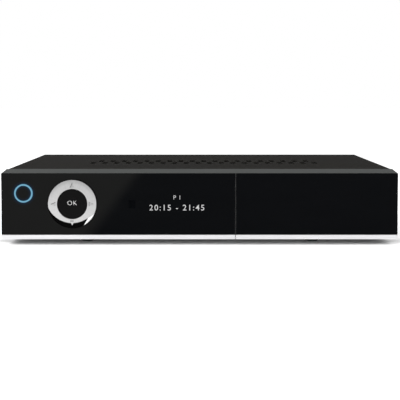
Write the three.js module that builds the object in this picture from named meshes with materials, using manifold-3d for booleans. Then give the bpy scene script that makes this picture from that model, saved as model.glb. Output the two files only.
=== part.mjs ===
// A satellite television receiver: a black sheet metal box with a moulded front, a glossy front panel with
// a standby button, a four-way navigation ring and a display, and a flap that hides the card bay.
// Millimetres, +Z up. X runs across the front, and +Y runs from the front to the back.
import * as THREE from "three";
import { mergeVertices } from "three/addons/utils/BufferGeometryUtils.js";
import Module from "manifold-3d";

const wasm = await Module();
wasm.setup();

// Driving dimensions of the whole receiver
const width = 340; // the front, across
const sideStep = 2.1; // the front past the lid, on each side
const depth = 230; // front plane to the rear wall's outer face
const bodyHeight = 59.5; // the tray's underside to the lid's top
const footHeight = 5.5; // floor to the tray's underside
const sheet = 1; // sheet metal
const fitGap = 0.3; // between pieces that fit against each other
const cutOverrun = 1; // how far a cut runs past the face it opens

const baseZ = footHeight;
const lidTopZ = baseZ + bodyHeight;
const halfWidth = width / 2;
const bodyHalf = halfWidth - sideStep;

// Front: its face, the strip along its foot, and the bevel behind its top edge
const fasciaDepth = 16;
const faceHeight = 56.9; // the tray's underside to the face's top edge
const panelThickness = 3;
const stripHeight = 3.9;
const seamX = 30.9; // where the panel ends and the flap begins
const seamGap = 0.5;
const faceTopZ = baseZ + faceHeight;
const stripTopZ = baseZ + stripHeight;
const panelBottomZ = stripTopZ + fitGap;
const panelEndX = seamX - seamGap / 2;
const flapStartX = seamX + seamGap / 2;

// Materials
function finish(color, roughness, metalness = 0) {
  return new THREE.MeshStandardMaterial({ color, roughness, metalness });
}
const materials = {
  lidPaint: finish(0x363634, 0.6, 0.2),
  fasciaPlastic: finish(0x3c3d3b, 0.55),
  glossPanel: finish(0x101113, 0.08),
  silverTrim: finish(0xe6e7e8, 0.3, 0.8),
  ringSilver: finish(0xcfcfcf, 0.35, 0.7),
  blackPlastic: finish(0x17181a, 0.35),
  lightGuide: finish(0x6fb9e6, 0.3),
  rubber: finish(0x161616, 0.9),
  greenBoard: finish(0x1d4a2c, 0.6),
  steel: finish(0xb4b6b8, 0.35, 0.9),
  aluminium: finish(0xa9acb0, 0.4, 0.9),
  brightSteel: finish(0xd0d2d4, 0.2, 1),
  darkGlass: finish(0x0a0d10, 0.1),
  paleRibbon: finish(0xd9d6cc, 0.6),
  yellowTape: finish(0xc9a83a, 0.5),
  whitePlastic: finish(0xe9e7e0, 0.45),
  redPlastic: finish(0xb3231f, 0.45),
};

// Solids from closed three.js geometries
const TURN = Math.PI * 2;
const fineSegments = 64;
const carrierSegments = 44;
const roundSegments = 36;
const smallSegments = 16;
const fewSegments = 10;
const ventPieces = 3; // in each end of a slot

// A closed geometry as a solid that can be joined and cut. Flat triangles at a lathe's poles are dropped,
// and a profile drawn the other way round is turned to face out.
function solid(geometry) {
  const bare = geometry.index ? geometry.toNonIndexed() : geometry.clone();
  bare.deleteAttribute("normal");
  bare.deleteAttribute("uv");
  const merged = mergeVertices(bare);
  const index = merged.index.array;
  const kept = [];
  for (let i = 0; i < index.length; i += 3) {
    const [a, b, c] = index.slice(i, i + 3);
    if (a !== b && b !== c && c !== a) kept.push(a, b, c);
  }
  const vertProperties = merged.attributes.position.array;
  const closed = (triangles) =>
    new wasm.Manifold(new wasm.Mesh({ numProp: 3, vertProperties, triVerts: new Uint32Array(triangles) }));
  const made = closed(kept);
  return made.volume() < 0 ? closed(kept.reverse()) : made;
}

// A block between two corners, with its faces exactly there, so that blocks that share a face join cleanly.
function box(low, high) {
  const geometry = new THREE.BoxGeometry();
  const { position } = geometry.attributes;
  for (let i = 0; i < position.count; i++)
    for (const axis of [0, 1, 2])
      position.setComponent(i, axis, position.getComponent(i, axis) < 0 ? low[axis] : high[axis]);
  return solid(geometry);
}

// A flat shape drawn in x and z, made solid from yFront to yBack, with this many straight pieces per arc.
function plateXZ(shape, yFront, yBack, pieces = smallSegments) {
  const settings = { depth: yBack - yFront, bevelEnabled: false, curveSegments: pieces / 2 };
  const geometry = new THREE.ExtrudeGeometry(shape, settings);
  geometry.rotateX(Math.PI / 2);
  geometry.translate(0, yBack, 0);
  return solid(geometry);
}

// A flat shape drawn in y and z, made solid from xLeft to xRight.
function plateYZ(shape, xLeft, xRight, pieces = smallSegments) {
  const settings = { depth: xRight - xLeft, bevelEnabled: false, curveSegments: pieces / 2 };
  const geometry = new THREE.ExtrudeGeometry(shape, settings);
  const [x, y, z] = [new THREE.Vector3(0, 1, 0), new THREE.Vector3(0, 0, 1), new THREE.Vector3(1, 0, 0)];
  geometry.applyMatrix4(new THREE.Matrix4().makeBasis(x, y, z));
  geometry.translate(xLeft, 0, 0);
  return solid(geometry);
}

// A flat shape drawn in x and y, made solid from zLow to zHigh.
function plateXY(shape, zLow, zHigh, pieces = smallSegments) {
  const settings = { depth: zHigh - zLow, bevelEnabled: false, curveSegments: pieces / 2 };
  const geometry = new THREE.ExtrudeGeometry(shape, settings);
  geometry.translate(0, 0, zLow);
  return solid(geometry);
}

// Round bars along each axis
function barX(y, z, radius, xLeft, xRight, segments = smallSegments) {
  const geometry = new THREE.CylinderGeometry(radius, radius, xRight - xLeft, segments);
  geometry.rotateZ(Math.PI / 2);
  geometry.translate((xLeft + xRight) / 2, y, z);
  return solid(geometry);
}

function barY(x, z, radius, yFront, yBack, segments = smallSegments) {
  const geometry = new THREE.CylinderGeometry(radius, radius, yBack - yFront, segments);
  geometry.translate(x, (yFront + yBack) / 2, z);
  return solid(geometry);
}

function barZ(x, y, radius, zLow, zHigh, segments = smallSegments) {
  const geometry = new THREE.CylinderGeometry(radius, radius, zHigh - zLow, segments);
  geometry.rotateX(Math.PI / 2);
  geometry.translate(x, y, (zLow + zHigh) / 2);
  return solid(geometry);
}

// A profile of [radius, distance] points, turned round the y axis.
function turned(profile, segments = roundSegments) {
  const points = profile.map(([radius, along]) => new THREE.Vector2(radius, along));
  return solid(new THREE.LatheGeometry(points, segments));
}

// A profile turned round the y axis that leaves a bore: its last point is its first one again.
function turnedRing(profile, segments = roundSegments) {
  return turned([...profile, profile[0]], segments);
}

// Outlines
function rectangle(left, right, low, high) {
  const corners = [[left, low], [right, low], [right, high], [left, high]];
  return polygon(corners);
}

function polygon(points) {
  return new THREE.Shape(points.map(([across, up]) => new THREE.Vector2(across, up)));
}

function disc(across, up, radius) {
  const shape = new THREE.Shape();
  shape.absarc(across, up, radius, 0, TURN, false);
  return shape;
}

function hole(across, up, radius) {
  const path = new THREE.Path();
  path.absarc(across, up, radius, 0, TURN, true);
  return path;
}

// A slot with round ends, its long way across when long is true and up otherwise.
function slotShape(across, up, slotWidth, slotLength, long) {
  const radius = slotWidth / 2;
  const reach = slotLength / 2 - radius;
  const shape = new THREE.Shape();
  if (long) {
    shape.absarc(across + reach, up, radius, -Math.PI / 2, Math.PI / 2, false);
    shape.absarc(across - reach, up, radius, Math.PI / 2, (Math.PI * 3) / 2, false);
  } else {
    shape.absarc(across, up + reach, radius, 0, Math.PI, false);
    shape.absarc(across, up - reach, radius, Math.PI, TURN, false);
  }
  shape.closePath();
  return shape;
}

function joined(solids) {
  return solids.reduce((whole, next) => whole.add(next));
}

function cutFrom(body, cutters) {
  return cutters.reduce((whole, next) => whole.subtract(next), body);
}

// A solid between a rectangle at yFront and another at yBack, each given as [left, right, low, high].
function taperedBlock(front, back, yFront, yBack) {
  const corners = [];
  for (const [[left, right, low, high], y] of [[front, yFront], [back, yBack]])
    corners.push([left, y, low], [right, y, low], [right, y, high], [left, y, high]);
  const quads = [[0, 1, 2, 3], [7, 6, 5, 4], [0, 4, 5, 1], [1, 5, 6, 2], [2, 6, 7, 3], [3, 7, 4, 0]];
  const faces = quads.flatMap(([a, b, c, d]) => [a, b, c, a, c, d]);
  const geometry = new THREE.BufferGeometry();
  geometry.setAttribute("position", new THREE.Float32BufferAttribute(corners.flat(), 3));
  geometry.setIndex(faces);
  return solid(geometry);
}

// The scene graph
const receiver = new THREE.Group();

function assembly(parent, x = 0, y = 0, z = 0) {
  const group = new THREE.Group();
  group.position.set(x, y, z);
  parent.add(group);
  return group;
}

function piece(parent, name, body, material, x = 0, y = 0, z = 0) {
  const { vertProperties, triVerts, numProp, numVert } = body.getMesh();
  const positions = new Float32Array(numVert * 3);
  for (let i = 0; i < numVert; i++)
    positions.set(vertProperties.subarray(i * numProp, i * numProp + 3), i * 3);
  const indexed = new THREE.BufferGeometry();
  indexed.setAttribute("position", new THREE.BufferAttribute(positions, 3));
  indexed.setIndex(new THREE.BufferAttribute(triVerts, 1));
  const geometry = indexed.toNonIndexed();
  geometry.computeVertexNormals();
  const mesh = new THREE.Mesh(geometry, material);
  mesh.name = name;
  mesh.position.set(x, y, z);
  parent.add(mesh);
  return mesh;
}

// Standby button: a round cap inside a light ring
const powerInset = 19; // from the front's left end
const powerX = powerInset - halfWidth;
const powerZ = 45.1;
const lightRingRadius = 7.85;
const lightRingBore = 6.65;
const lightRingFlangeRadius = 9.8;
const lightRingFlange = 1;
const lightRingStandout = 0.2;

// Navigation ring and the button in its middle
const dialInset = 61.1; // from the front's left end
const dialX = dialInset - halfWidth;
const dialZ = 36.2;
const ringRadius = 20.6;
const ringBore = 13;
const ringThickness = 1.4;
const ringStandout = 3;
const ringClearance = 0.55; // round the ring, so that it can tilt
const capClearance = 0.65; // between the ring's bore and the button in it

// Fascia moulding
const wallThickness = 2.2; // the wall behind the panel
const wallFrontY = panelThickness + fitGap;
const wallBackY = wallFrontY + wallThickness;
const cavityInset = 2.4; // the left wall at the fascia's back edge
const cavityFloor = 2.5;
const cavityRoof = 1.4; // under the bevel's front edge
const cavityFloorZ = baseZ + cavityFloor;
const cavityTopZ = faceTopZ - cavityRoof;
const cavityLeft = cavityInset - bodyHalf;
const dividerThickness = 2.6;
const dividerInset = 0.5; // from the seam
const dividerRight = seamX - dividerInset;
const dividerLeft = dividerRight - dividerThickness;
const bayWall = 2.2; // the right wall at the fascia's back edge
const bayRight = bodyHalf - bayWall;

// Flap: it turns down about a pin at each end
const hingeY = 6;
const hingeZ = 9.5;
const pinRadius = 1.5;
const pinClearance = 0.3;
const pinDepth = 2.4; // how far a pin's socket goes into the wall
const earRadius = 2.7; // the wall round the pin's socket
const sweepClearance = 0.3; // outside the path of the strip's front edge
const sweepRadius = Math.hypot(hingeY, hingeZ - baseZ) + sweepClearance;

// Front board, parallel to the front
const boardThickness = 1.6;
const frontBoardY = 12;
const frontBoardBackY = frontBoardY + boardThickness;
const bossRadius = 3;
const bossInset = 5; // from the cavity's walls to a boss's middle
const bossPlaces = [cavityLeft + bossInset, dividerLeft - bossInset].flatMap((x) =>
  [cavityFloorZ + bossInset, cavityTopZ - bossInset].map((z) => [x, z]),
);

// Display behind the panel
const displayToSeam = 50.4;
const displayX = seamX - displayToSeam;
const displayZ = 36.5;
const displayWidth = 54;
const displayHeight = 30;
const displayWindowMargin = 1.2; // the fascia's frame over the display's edge

// Remote control receiver
const eyeToDisplay = 38.5;
const eyeX = displayX - eyeToDisplay;
const eyeZ = 35.9;
const eyeWidth = 6;
const eyeHeight = 7;
const eyeDomeRadius = 2.4;
const eyeRecess = 1; // behind the wall's back
const eyeFrontY = wallBackY + eyeRecess;
const eyeWindow = 8;

const front = assembly(receiver);

function makeFascia() {
  const outer = taperedBlock(
    [-halfWidth, halfWidth, baseZ, faceTopZ],
    [-bodyHalf, bodyHalf, baseZ, lidTopZ],
    wallFrontY,
    fasciaDepth,
  );
  const leftCavity = box(
    [cavityLeft, wallBackY, cavityFloorZ],
    [dividerLeft, fasciaDepth + cutOverrun, cavityTopZ],
  );
  const bay = box(
    [dividerRight, -cutOverrun, cavityFloorZ],
    [bayRight, fasciaDepth + cutOverrun, cavityTopZ],
  );
  const sweep = barX(hingeY, hingeZ, sweepRadius, dividerRight, halfWidth + cutOverrun, roundSegments)
    .intersect(box(
      [dividerRight, -sweepRadius, -sweepRadius],
      [halfWidth + cutOverrun, hingeY + sweepRadius + cutOverrun, hingeZ],
    ))
    .subtract(barX(hingeY, hingeZ, earRadius, bayRight, halfWidth + cutOverrun));
  const pinHole = barX(
    hingeY, hingeZ, pinRadius + pinClearance, dividerRight - pinDepth + pinClearance, bayRight + pinDepth,
  );
  const dialHole = barY(
    dialX, dialZ, ringRadius + ringClearance, -cutOverrun, wallBackY + cutOverrun, fineSegments,
  );
  const powerHole = barY(
    powerX, powerZ, lightRingRadius + fitGap, -cutOverrun, wallBackY + cutOverrun, roundSegments,
  );
  const windowHalfWidth = displayWidth / 2 - displayWindowMargin;
  const windowHalfHeight = displayHeight / 2 - displayWindowMargin;
  const displayWindow = box(
    [displayX - windowHalfWidth, -cutOverrun, displayZ - windowHalfHeight],
    [displayX + windowHalfWidth, wallBackY + cutOverrun, displayZ + windowHalfHeight],
  );
  const eyeHole = box(
    [eyeX - eyeWindow / 2, -cutOverrun, eyeZ - eyeWindow / 2],
    [eyeX + eyeWindow / 2, wallBackY + cutOverrun, eyeZ + eyeWindow / 2],
  );
  const bosses = bossPlaces.map(([x, z]) => barY(x, z, bossRadius, wallFrontY, frontBoardY - fitGap));
  const shell = cutFrom(outer, [
    leftCavity, bay, sweep, pinHole, dialHole, powerHole, displayWindow, eyeHole,
  ]);
  return joined([shell, ...bosses]);
}
piece(front, "fascia", makeFascia(), materials.fasciaPlastic);

function makeFrontPanel() {
  const plate = box([-halfWidth, 0, panelBottomZ], [panelEndX, panelThickness, faceTopZ]);
  return cutFrom(plate, [
    barY(dialX, dialZ, ringRadius + ringClearance, -cutOverrun, panelThickness + cutOverrun, fineSegments),
    barY(powerX, powerZ, lightRingRadius + fitGap, -cutOverrun, panelThickness + cutOverrun, roundSegments),
  ]);
}
piece(front, "front_panel", makeFrontPanel(), materials.glossPanel);

// A strip's section: a flat front with a small round at its top and bottom edges.
const stripRound = 0.5;
const cornerPieces = 4;
function makeStrip(left, right) {
  const section = new THREE.Shape();
  section.moveTo(panelThickness, baseZ);
  section.lineTo(panelThickness, stripTopZ);
  section.lineTo(stripRound, stripTopZ);
  section.absarc(stripRound, stripTopZ - stripRound, stripRound, Math.PI / 2, Math.PI, false);
  section.absarc(stripRound, baseZ + stripRound, stripRound, Math.PI, (Math.PI * 3) / 2, false);
  return plateYZ(section, left, right, cornerPieces);
}
piece(front, "trim_strip", makeStrip(-halfWidth, panelEndX), materials.silverTrim);

// The display module: a block that reaches back to the board, with its glass set in from its front face.
function makeDisplay() {
  const glassInset = 4;
  const glassRecess = 0.4;
  const standY = wallBackY + fitGap;
  const body = box(
    [-displayWidth / 2, standY, -displayHeight / 2],
    [displayWidth / 2, frontBoardY - fitGap, displayHeight / 2],
  );
  const window = box(
    [-displayWidth / 2 + glassInset, standY - cutOverrun, -displayHeight / 2 + glassInset],
    [displayWidth / 2 - glassInset, standY + glassRecess, displayHeight / 2 - glassInset],
  );
  return cutFrom(body, [window]);
}
piece(front, "display_module", makeDisplay(), materials.darkGlass, displayX, 0, displayZ);

function makeRemoteEye() {
  const bodyFrontY = eyeFrontY + eyeDomeRadius;
  const body = box(
    [-eyeWidth / 2, bodyFrontY, -eyeHeight / 2],
    [eyeWidth / 2, frontBoardY - fitGap, eyeHeight / 2],
  );
  const dome = new THREE.SphereGeometry(eyeDomeRadius, smallSegments, smallSegments / 2);
  dome.translate(0, bodyFrontY, 0);
  return joined([body, solid(dome)]);
}
piece(front, "remote_eye", makeRemoteEye(), materials.darkGlass, eyeX, 0, eyeZ);

// Push switches on the front board
const switchWidth = 5.2;
const switchBodyHeight = 0.9;
const switchPlungerRadius = 1.6;
const switchPlungerHeight = 0.3;
const switchBackY = frontBoardY - fitGap;
const switchTopY = switchBackY - switchBodyHeight - switchPlungerHeight;
const switchRingRadius = 16.4; // from the dial's middle to the four round it
const pressTravel = 1;

function makeSwitch() {
  const body = box(
    [-switchWidth / 2, switchTopY + switchPlungerHeight, -switchWidth / 2],
    [switchWidth / 2, switchBackY, switchWidth / 2],
  );
  return body.add(barY(0, 0, switchPlungerRadius, switchTopY, switchBackY, fewSegments));
}
const switchPlaces = {
  switch_up: [dialX, dialZ + switchRingRadius],
  switch_down: [dialX, dialZ - switchRingRadius],
  switch_left: [dialX - switchRingRadius, dialZ],
  switch_right: [dialX + switchRingRadius, dialZ],
  switch_ok: [dialX, dialZ],
  switch_power: [powerX, powerZ],
};
for (const [name, [x, z]] of Object.entries(switchPlaces))
  piece(front, name, makeSwitch(), materials.steel, x, 0, z);

// The front board, with a screw hole over each boss.
function makeFrontBoard() {
  const screwHole = 1.4;
  const board = box(
    [cavityLeft + fitGap, frontBoardY, cavityFloorZ + fitGap],
    [dividerLeft - fitGap, frontBoardBackY, cavityTopZ - fitGap],
  );
  const holes = bossPlaces.map(([x, z]) =>
    barY(x, z, screwHole, frontBoardY - cutOverrun, frontBoardBackY + cutOverrun, fewSegments),
  );
  return cutFrom(board, holes);
}
piece(front, "front_board", makeFrontBoard(), materials.greenBoard);

// The standby button and its light ring share an axis.
const power = assembly(front, powerX, 0, powerZ);
const powerCapRadius = lightRingBore - fitGap;
const powerCapStandout = 0.4;
const powerSegments = 28;
const powerCapWall = 1.2;
const lightRingBackY = wallBackY + fitGap + lightRingFlange;
const powerFlangeRadius = 7.6;
const capFlange = 1;
const stemClearance = 0.3; // between a pressed stem and its switch
const stemEndY = switchTopY - pressTravel - stemClearance;

function makeLightRing() {
  return turnedRing([
    [lightRingBore, -lightRingStandout],
    [lightRingRadius, -lightRingStandout],
    [lightRingRadius, wallBackY + fitGap],
    [lightRingFlangeRadius, wallBackY + fitGap],
    [lightRingFlangeRadius, lightRingBackY],
    [lightRingBore, lightRingBackY],
  ], powerSegments);
}
piece(power, "power_light_ring", makeLightRing(), materials.lightGuide);

// A push button: a cap, hollow behind, with a stem for its switch and a flange that keeps it in.
function makeButton(radius, frontY, flangeRadius, flangeY, wall, stemRadius, segments) {
  const flangeBackY = flangeY + capFlange;
  return turned([
    [0, frontY],
    [radius, frontY],
    [radius, flangeY],
    [flangeRadius, flangeY],
    [flangeRadius, flangeBackY],
    [radius - wall, flangeBackY],
    [radius - wall, frontY + wall],
    [stemRadius, frontY + wall],
    [stemRadius, stemEndY],
    [0, stemEndY],
  ], segments);
}
const powerStemRadius = 2;
piece(
  power,
  "power_button",
  makeButton(
    powerCapRadius,
    -powerCapStandout,
    powerFlangeRadius,
    lightRingBackY + fitGap,
    powerCapWall,
    powerStemRadius,
    powerSegments,
  ),
  materials.glossPanel,
);

// The navigation ring tilts up and down on the gimbal's front ridges, and with the gimbal to either side on
// the gimbal's back ridges.
const dial = assembly(front, dialX, 0, dialZ);
const carrierFrontY = -ringStandout + ringThickness + fitGap;
const carrierFlange = 1;
const carrierFlangeRadius = 24;
const carrierStepRadius = 15.4; // the wider bore behind, over the button's flange
const carrierStepY = 5.2;
const carrierBodyRadius = 20.4;
const wallToFlange = 1.4; // room for the flange to tilt behind the wall
const carrierFlangeY = wallBackY + wallToFlange;
const carrierBackY = carrierFlangeY + carrierFlange;
const gimbalBore = 19.8;
const gimbalRadius = 24.5;
const gimbalThickness = 1.2;
const ridgeHeight = 1.2;
const ridgeHalfWidth = 0.6;
const ridgeStart = 20.1;
const ridgeEnd = 24;
const gimbalPlateY = carrierBackY + fitGap + ridgeHeight;
const gimbalBackY = gimbalPlateY + gimbalThickness;
const nubRadius = 1.5;
const nubClearance = 0.7;

// The ring's outline: a wider circle cuts a crescent from its foot, and the cut stops short of a wedge.
const scoopRadius = 22.5;
const scoopRise = 6.3; // the scoop's middle above the ring's
const wedgeInner = [13.2, -12.6];
const wedgeTip = [9.9, -18.3];
const arrowTip = 18.3; // the lower arrow's point, below the ring's middle
const arrowHalfWidth = 1.5;
const arrowRoot = 15.4;
const markDepth = 0.35;
const markTip = 18.6; // the engraved arrows, from the ring's middle
const markRoot = 14.2;
const markHalfWidth = 1.9;

function makeRing() {
  const frontY = -ringStandout;
  const backY = frontY + ringThickness;
  const ring = disc(0, 0, ringRadius);
  ring.holes.push(hole(0, 0, ringBore));
  const plate = plateXZ(ring, frontY, backY, fineSegments);
  const underScoop = plateXZ(disc(0, 0, ringRadius + cutOverrun), frontY - cutOverrun, backY + cutOverrun)
    .subtract(
      plateXZ(disc(0, scoopRise, scoopRadius), frontY - scoopRadius, backY + scoopRadius, fineSegments),
    );
  const [innerX, innerZ] = wedgeInner;
  const [tipX, tipZ] = wedgeTip;
  const leftOfWedge = plateXZ(
    polygon([
      [-ringRadius * 2, 0],
      [-ringRadius * 2, -ringRadius * 2],
      [tipX + (tipX - innerX), tipZ + (tipZ - innerZ)],
      [innerX, innerZ],
      [innerX, 0],
    ]),
    frontY - scoopRadius,
    backY + scoopRadius,
  );
  const arrow = plateXZ(
    polygon([[-arrowHalfWidth, -arrowRoot], [0, -arrowTip], [arrowHalfWidth, -arrowRoot]]), frontY, backY,
  );
  const mark = polygon([[markTip, 0], [markRoot, markHalfWidth], [markRoot, -markHalfWidth]]);
  const marks = [0, 1, 2].map((quarter) => {
    const geometry = new THREE.ExtrudeGeometry(mark, { depth: markDepth + cutOverrun, bevelEnabled: false });
    geometry.rotateX(Math.PI / 2);
    geometry.rotateY(-quarter * (Math.PI / 2));
    geometry.translate(0, frontY + markDepth, 0);
    return solid(geometry);
  });
  return cutFrom(plate, [underScoop.intersect(leftOfWedge), ...marks]).add(arrow);
}
piece(dial, "navigation_ring", makeRing(), materials.ringSilver);

function makeCarrier() {
  const cup = turnedRing(
    [
      [ringBore, carrierFrontY],
      [carrierBodyRadius, carrierFrontY],
      [carrierBodyRadius, carrierFlangeY],
      [carrierFlangeRadius, carrierFlangeY],
      [carrierFlangeRadius, carrierBackY],
      [carrierStepRadius, carrierBackY],
      [carrierStepRadius, carrierStepY],
      [ringBore, carrierStepY],
    ],
    carrierSegments,
  );
  const nubs = [0, 1, 2, 3].map((quarter) => {
    const angle = (quarter * Math.PI) / 2;
    const x = switchRingRadius * Math.cos(angle);
    const z = switchRingRadius * Math.sin(angle);
    return barY(x, z, nubRadius, carrierBackY - carrierFlange / 2, switchTopY - nubClearance, fewSegments);
  });
  return joined([cup, ...nubs]);
}
piece(dial, "ring_carrier", makeCarrier(), materials.blackPlastic);

function makeGimbal() {
  const ring = disc(0, 0, gimbalRadius);
  ring.holes.push(hole(0, 0, gimbalBore));
  const plate = plateXZ(ring, gimbalPlateY, gimbalBackY, roundSegments);
  const frontRidges = [-1, 1].map((side) =>
    box(
      [side > 0 ? ridgeStart : -ridgeEnd, gimbalPlateY - ridgeHeight, -ridgeHalfWidth],
      [side > 0 ? ridgeEnd : -ridgeStart, gimbalBackY, ridgeHalfWidth],
    ),
  );
  const backRidges = [-1, 1].map((side) =>
    box(
      [-ridgeHalfWidth, gimbalPlateY, side > 0 ? ridgeStart : -ridgeEnd],
      [ridgeHalfWidth, frontBoardY - fitGap, side > 0 ? ridgeEnd : -ridgeStart],
    ),
  );
  return joined([plate, ...frontRidges, ...backRidges]);
}
piece(dial, "ring_gimbal", makeGimbal(), materials.blackPlastic);

const okCapRadius = ringBore - capClearance;
const okCapStandout = 2.6;
const okCapWall = 1.4;
const okFlangeRadius = 14.6;
const okFlangeDrop = 1.2; // behind the carrier's step
const okStemRadius = 3;
piece(
  dial,
  "ok_button",
  makeButton(
    okCapRadius,
    -okCapStandout,
    okFlangeRadius,
    carrierStepY + okFlangeDrop,
    okCapWall,
    okStemRadius,
    roundSegments,
  ),
  materials.blackPlastic,
);

// The flap: its panel and strip carry on from the fixed ones, on a carrier with a pin at each end.
const flap = assembly(front);
const carrierPlate = 2;
const carrierEndGap = 1.2; // to the divider
const carrierLowGap = 1.5; // above the flap's foot
const carrierHighGap = 0.5; // under the bay's top
const carrierLeft = dividerRight + carrierEndGap;
const carrierRight = bayRight - fitGap;
const carrierLowZ = baseZ + carrierLowGap;
const carrierHighZ = cavityTopZ - carrierHighGap;
const hingeArmWidth = 3;
const hingeArmReach = 2; // from the pin's axis to each side of the arm
const pinEndGap = 0.3;
const ribDepth = 1.4;
const ribWidth = 1.6;
const ribInset = 6;

piece(
  flap,
  "flap_panel",
  box([flapStartX, 0, panelBottomZ], [halfWidth, panelThickness, faceTopZ]),
  materials.glossPanel,
);
piece(flap, "flap_trim", makeStrip(flapStartX, halfWidth), materials.silverTrim);

function makeFlapCarrier() {
  const backY = wallFrontY + carrierPlate;
  const plate = box([carrierLeft, wallFrontY, carrierLowZ], [carrierRight, backY, carrierHighZ]);
  const rib = (left, right, low, high) =>
    box([left, backY - ribWidth / 2, low], [right, backY + ribDepth, high]);
  const frame = [
    rib(carrierLeft, carrierRight, carrierHighZ - ribInset, carrierHighZ - ribInset + ribWidth),
    rib(carrierLeft + ribInset, carrierLeft + ribInset + ribWidth, hingeZ, carrierHighZ - ribInset),
    rib(carrierRight - ribInset - ribWidth, carrierRight - ribInset, hingeZ, carrierHighZ - ribInset),
  ];
  const arms = [carrierLeft, carrierRight - hingeArmWidth].map((x) =>
    box(
      [x, hingeY - hingeArmReach, hingeZ - hingeArmReach],
      [x + hingeArmWidth, hingeY + hingeArmReach, hingeZ + hingeArmReach],
    ),
  );
  const pins = [
    [dividerRight - pinDepth + pinClearance + pinEndGap, carrierLeft + hingeArmWidth],
    [carrierRight - hingeArmWidth, bayRight + pinDepth - pinEndGap],
  ].map(([left, right]) => barX(hingeY, hingeZ, pinRadius, left, right));
  return joined([plate, ...frame, ...arms, ...pins]);
}
piece(flap, "flap_carrier", makeFlapCarrier(), materials.blackPlastic);

// The main board's level, from which everything on it is placed
const standoffHeight = 6.2;
const mainBoardZ = baseZ + sheet + standoffHeight + fitGap;
const mainBoardTopZ = mainBoardZ + boardThickness;
const onBoardZ = mainBoardTopZ + fitGap;
const boxFrontY = fasciaDepth + fitGap; // where the sheet metal box begins

// The bay behind the flap: two module slots with an eject button each, a card slot and a USB socket
const bayInside = assembly(front);
const moduleToSeam = 45.1;
const moduleX = seamX + moduleToSeam;
const moduleWidth = 55;
const moduleHeight = 5.8;
const moduleDepth = 88;
const moduleMiddles = [24.9, 34.9];
const slotMargin = 0.3; // the bezel's opening past the slot behind it
const cageWidth = 58;
const cageUnder = 4.7; // from the lower module's middle
const cageOver = 5.3; // from the upper module's middle
const cageLowZ = moduleMiddles[0] - cageUnder;
const cageHighZ = moduleMiddles[1] + cageOver;
const cageBackWall = 7.7;
const cageBackY = boxFrontY + moduleDepth + cageBackWall;
const cageFootLength = 32;
const cardSlotHeight = 1.4;
const cardSlotWidth = 54.6;
const cardSlotDepth = 50;
const cardReaderHeight = 5;
const cardReaderLength = 58.7;
const cardSlotRise = 2.6;
const cardSlotZ = onBoardZ + cardSlotRise;
const socketToModule = 51.2;
const frontSocketX = moduleX + socketToModule;
const ejectToModule = 35;
const ejectX = moduleX + ejectToModule;
const ejectCapWidth = 6;
const ejectCapHeight = 4;
const ejectHoleMargin = 0.4;
const ejectStandout = 3.5; // in front of the bezel
const ejectCapLength = 7;
const ejectRodWidth = 3;
const ejectRodHeight = 2;
const ejectRodEndY = 60;
const ejectTravel = 3;
const guideY = 48;
const guideLength = 4;
const guideReach = 9.3; // past the cage's side
const guideMargin = 3; // above the upper rod and below the lower one
const bezelThickness = 2.2;
const bezelFrontY = fasciaDepth - bezelThickness;

// USB sockets
const usbWidth = 14.4;
const usbHeight = 7;
const usbLength = 15.7;
const usbWall = 0.7;
const usbBackWall = 2;
const usbTongueWidth = 10.6;
const usbTongueHeight = 1.8;
const usbTongueInset = 1.8;
const usbZ = onBoardZ + usbHeight / 2;

function makeBezel() {
  const plate = box(
    [dividerRight + fitGap, bezelFrontY, cavityFloorZ + fitGap],
    [bayRight - fitGap, fasciaDepth, cavityTopZ - fitGap],
  );
  const opening = (x, z, openingWidth, openingHeight) =>
    box(
      [x - openingWidth / 2, bezelFrontY - cutOverrun, z - openingHeight / 2],
      [x + openingWidth / 2, fasciaDepth + cutOverrun, z + openingHeight / 2],
    );
  const slotWidth = moduleWidth + slotMargin * 2;
  const bezelToSocket = (slotMargin - usbWall) * 2;
  const openings = [
    ...moduleMiddles.map((z) => opening(moduleX, z, slotWidth, moduleHeight + slotMargin * 2)),
    ...moduleMiddles.map((z) =>
      opening(ejectX, z, ejectCapWidth + ejectHoleMargin * 2, ejectCapHeight + ejectHoleMargin * 2),
    ),
    opening(moduleX, cardSlotZ, slotWidth, cardSlotHeight + slotMargin * 2),
    opening(frontSocketX, usbZ, usbWidth + bezelToSocket, usbHeight + bezelToSocket),
  ];
  return cutFrom(plate, openings);
}
piece(bayInside, "bay_bezel", makeBezel(), materials.blackPlastic);

function makeModuleCage() {
  const left = moduleX - cageWidth / 2;
  const right = moduleX + cageWidth / 2;
  const shell = box([left, boxFrontY, cageLowZ], [right, cageBackY, cageHighZ]);
  const foot = box([left, cageBackY - cageFootLength, onBoardZ], [right, cageBackY, cageLowZ + sheet]);
  const guide = box(
    [right - sheet, guideY, moduleMiddles[0] - guideMargin],
    [right + guideReach, guideY + guideLength, moduleMiddles[1] + guideMargin],
  );
  const slots = moduleMiddles.map((z) =>
    box(
      [moduleX - moduleWidth / 2, boxFrontY - cutOverrun, z - moduleHeight / 2],
      [moduleX + moduleWidth / 2, boxFrontY + moduleDepth, z + moduleHeight / 2],
    ),
  );
  const rodHoleHalfWidth = ejectRodWidth / 2 + fitGap;
  const rodHoleHalfHeight = ejectRodHeight / 2 + fitGap;
  const rodHoles = moduleMiddles.map((z) =>
    box(
      [ejectX - rodHoleHalfWidth, guideY - cutOverrun, z - rodHoleHalfHeight],
      [ejectX + rodHoleHalfWidth, guideY + guideLength + cutOverrun, z + rodHoleHalfHeight],
    ),
  );
  return cutFrom(joined([shell, foot, guide]), [...slots, ...rodHoles]);
}
piece(bayInside, "module_cage", makeModuleCage(), materials.steel);

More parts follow.
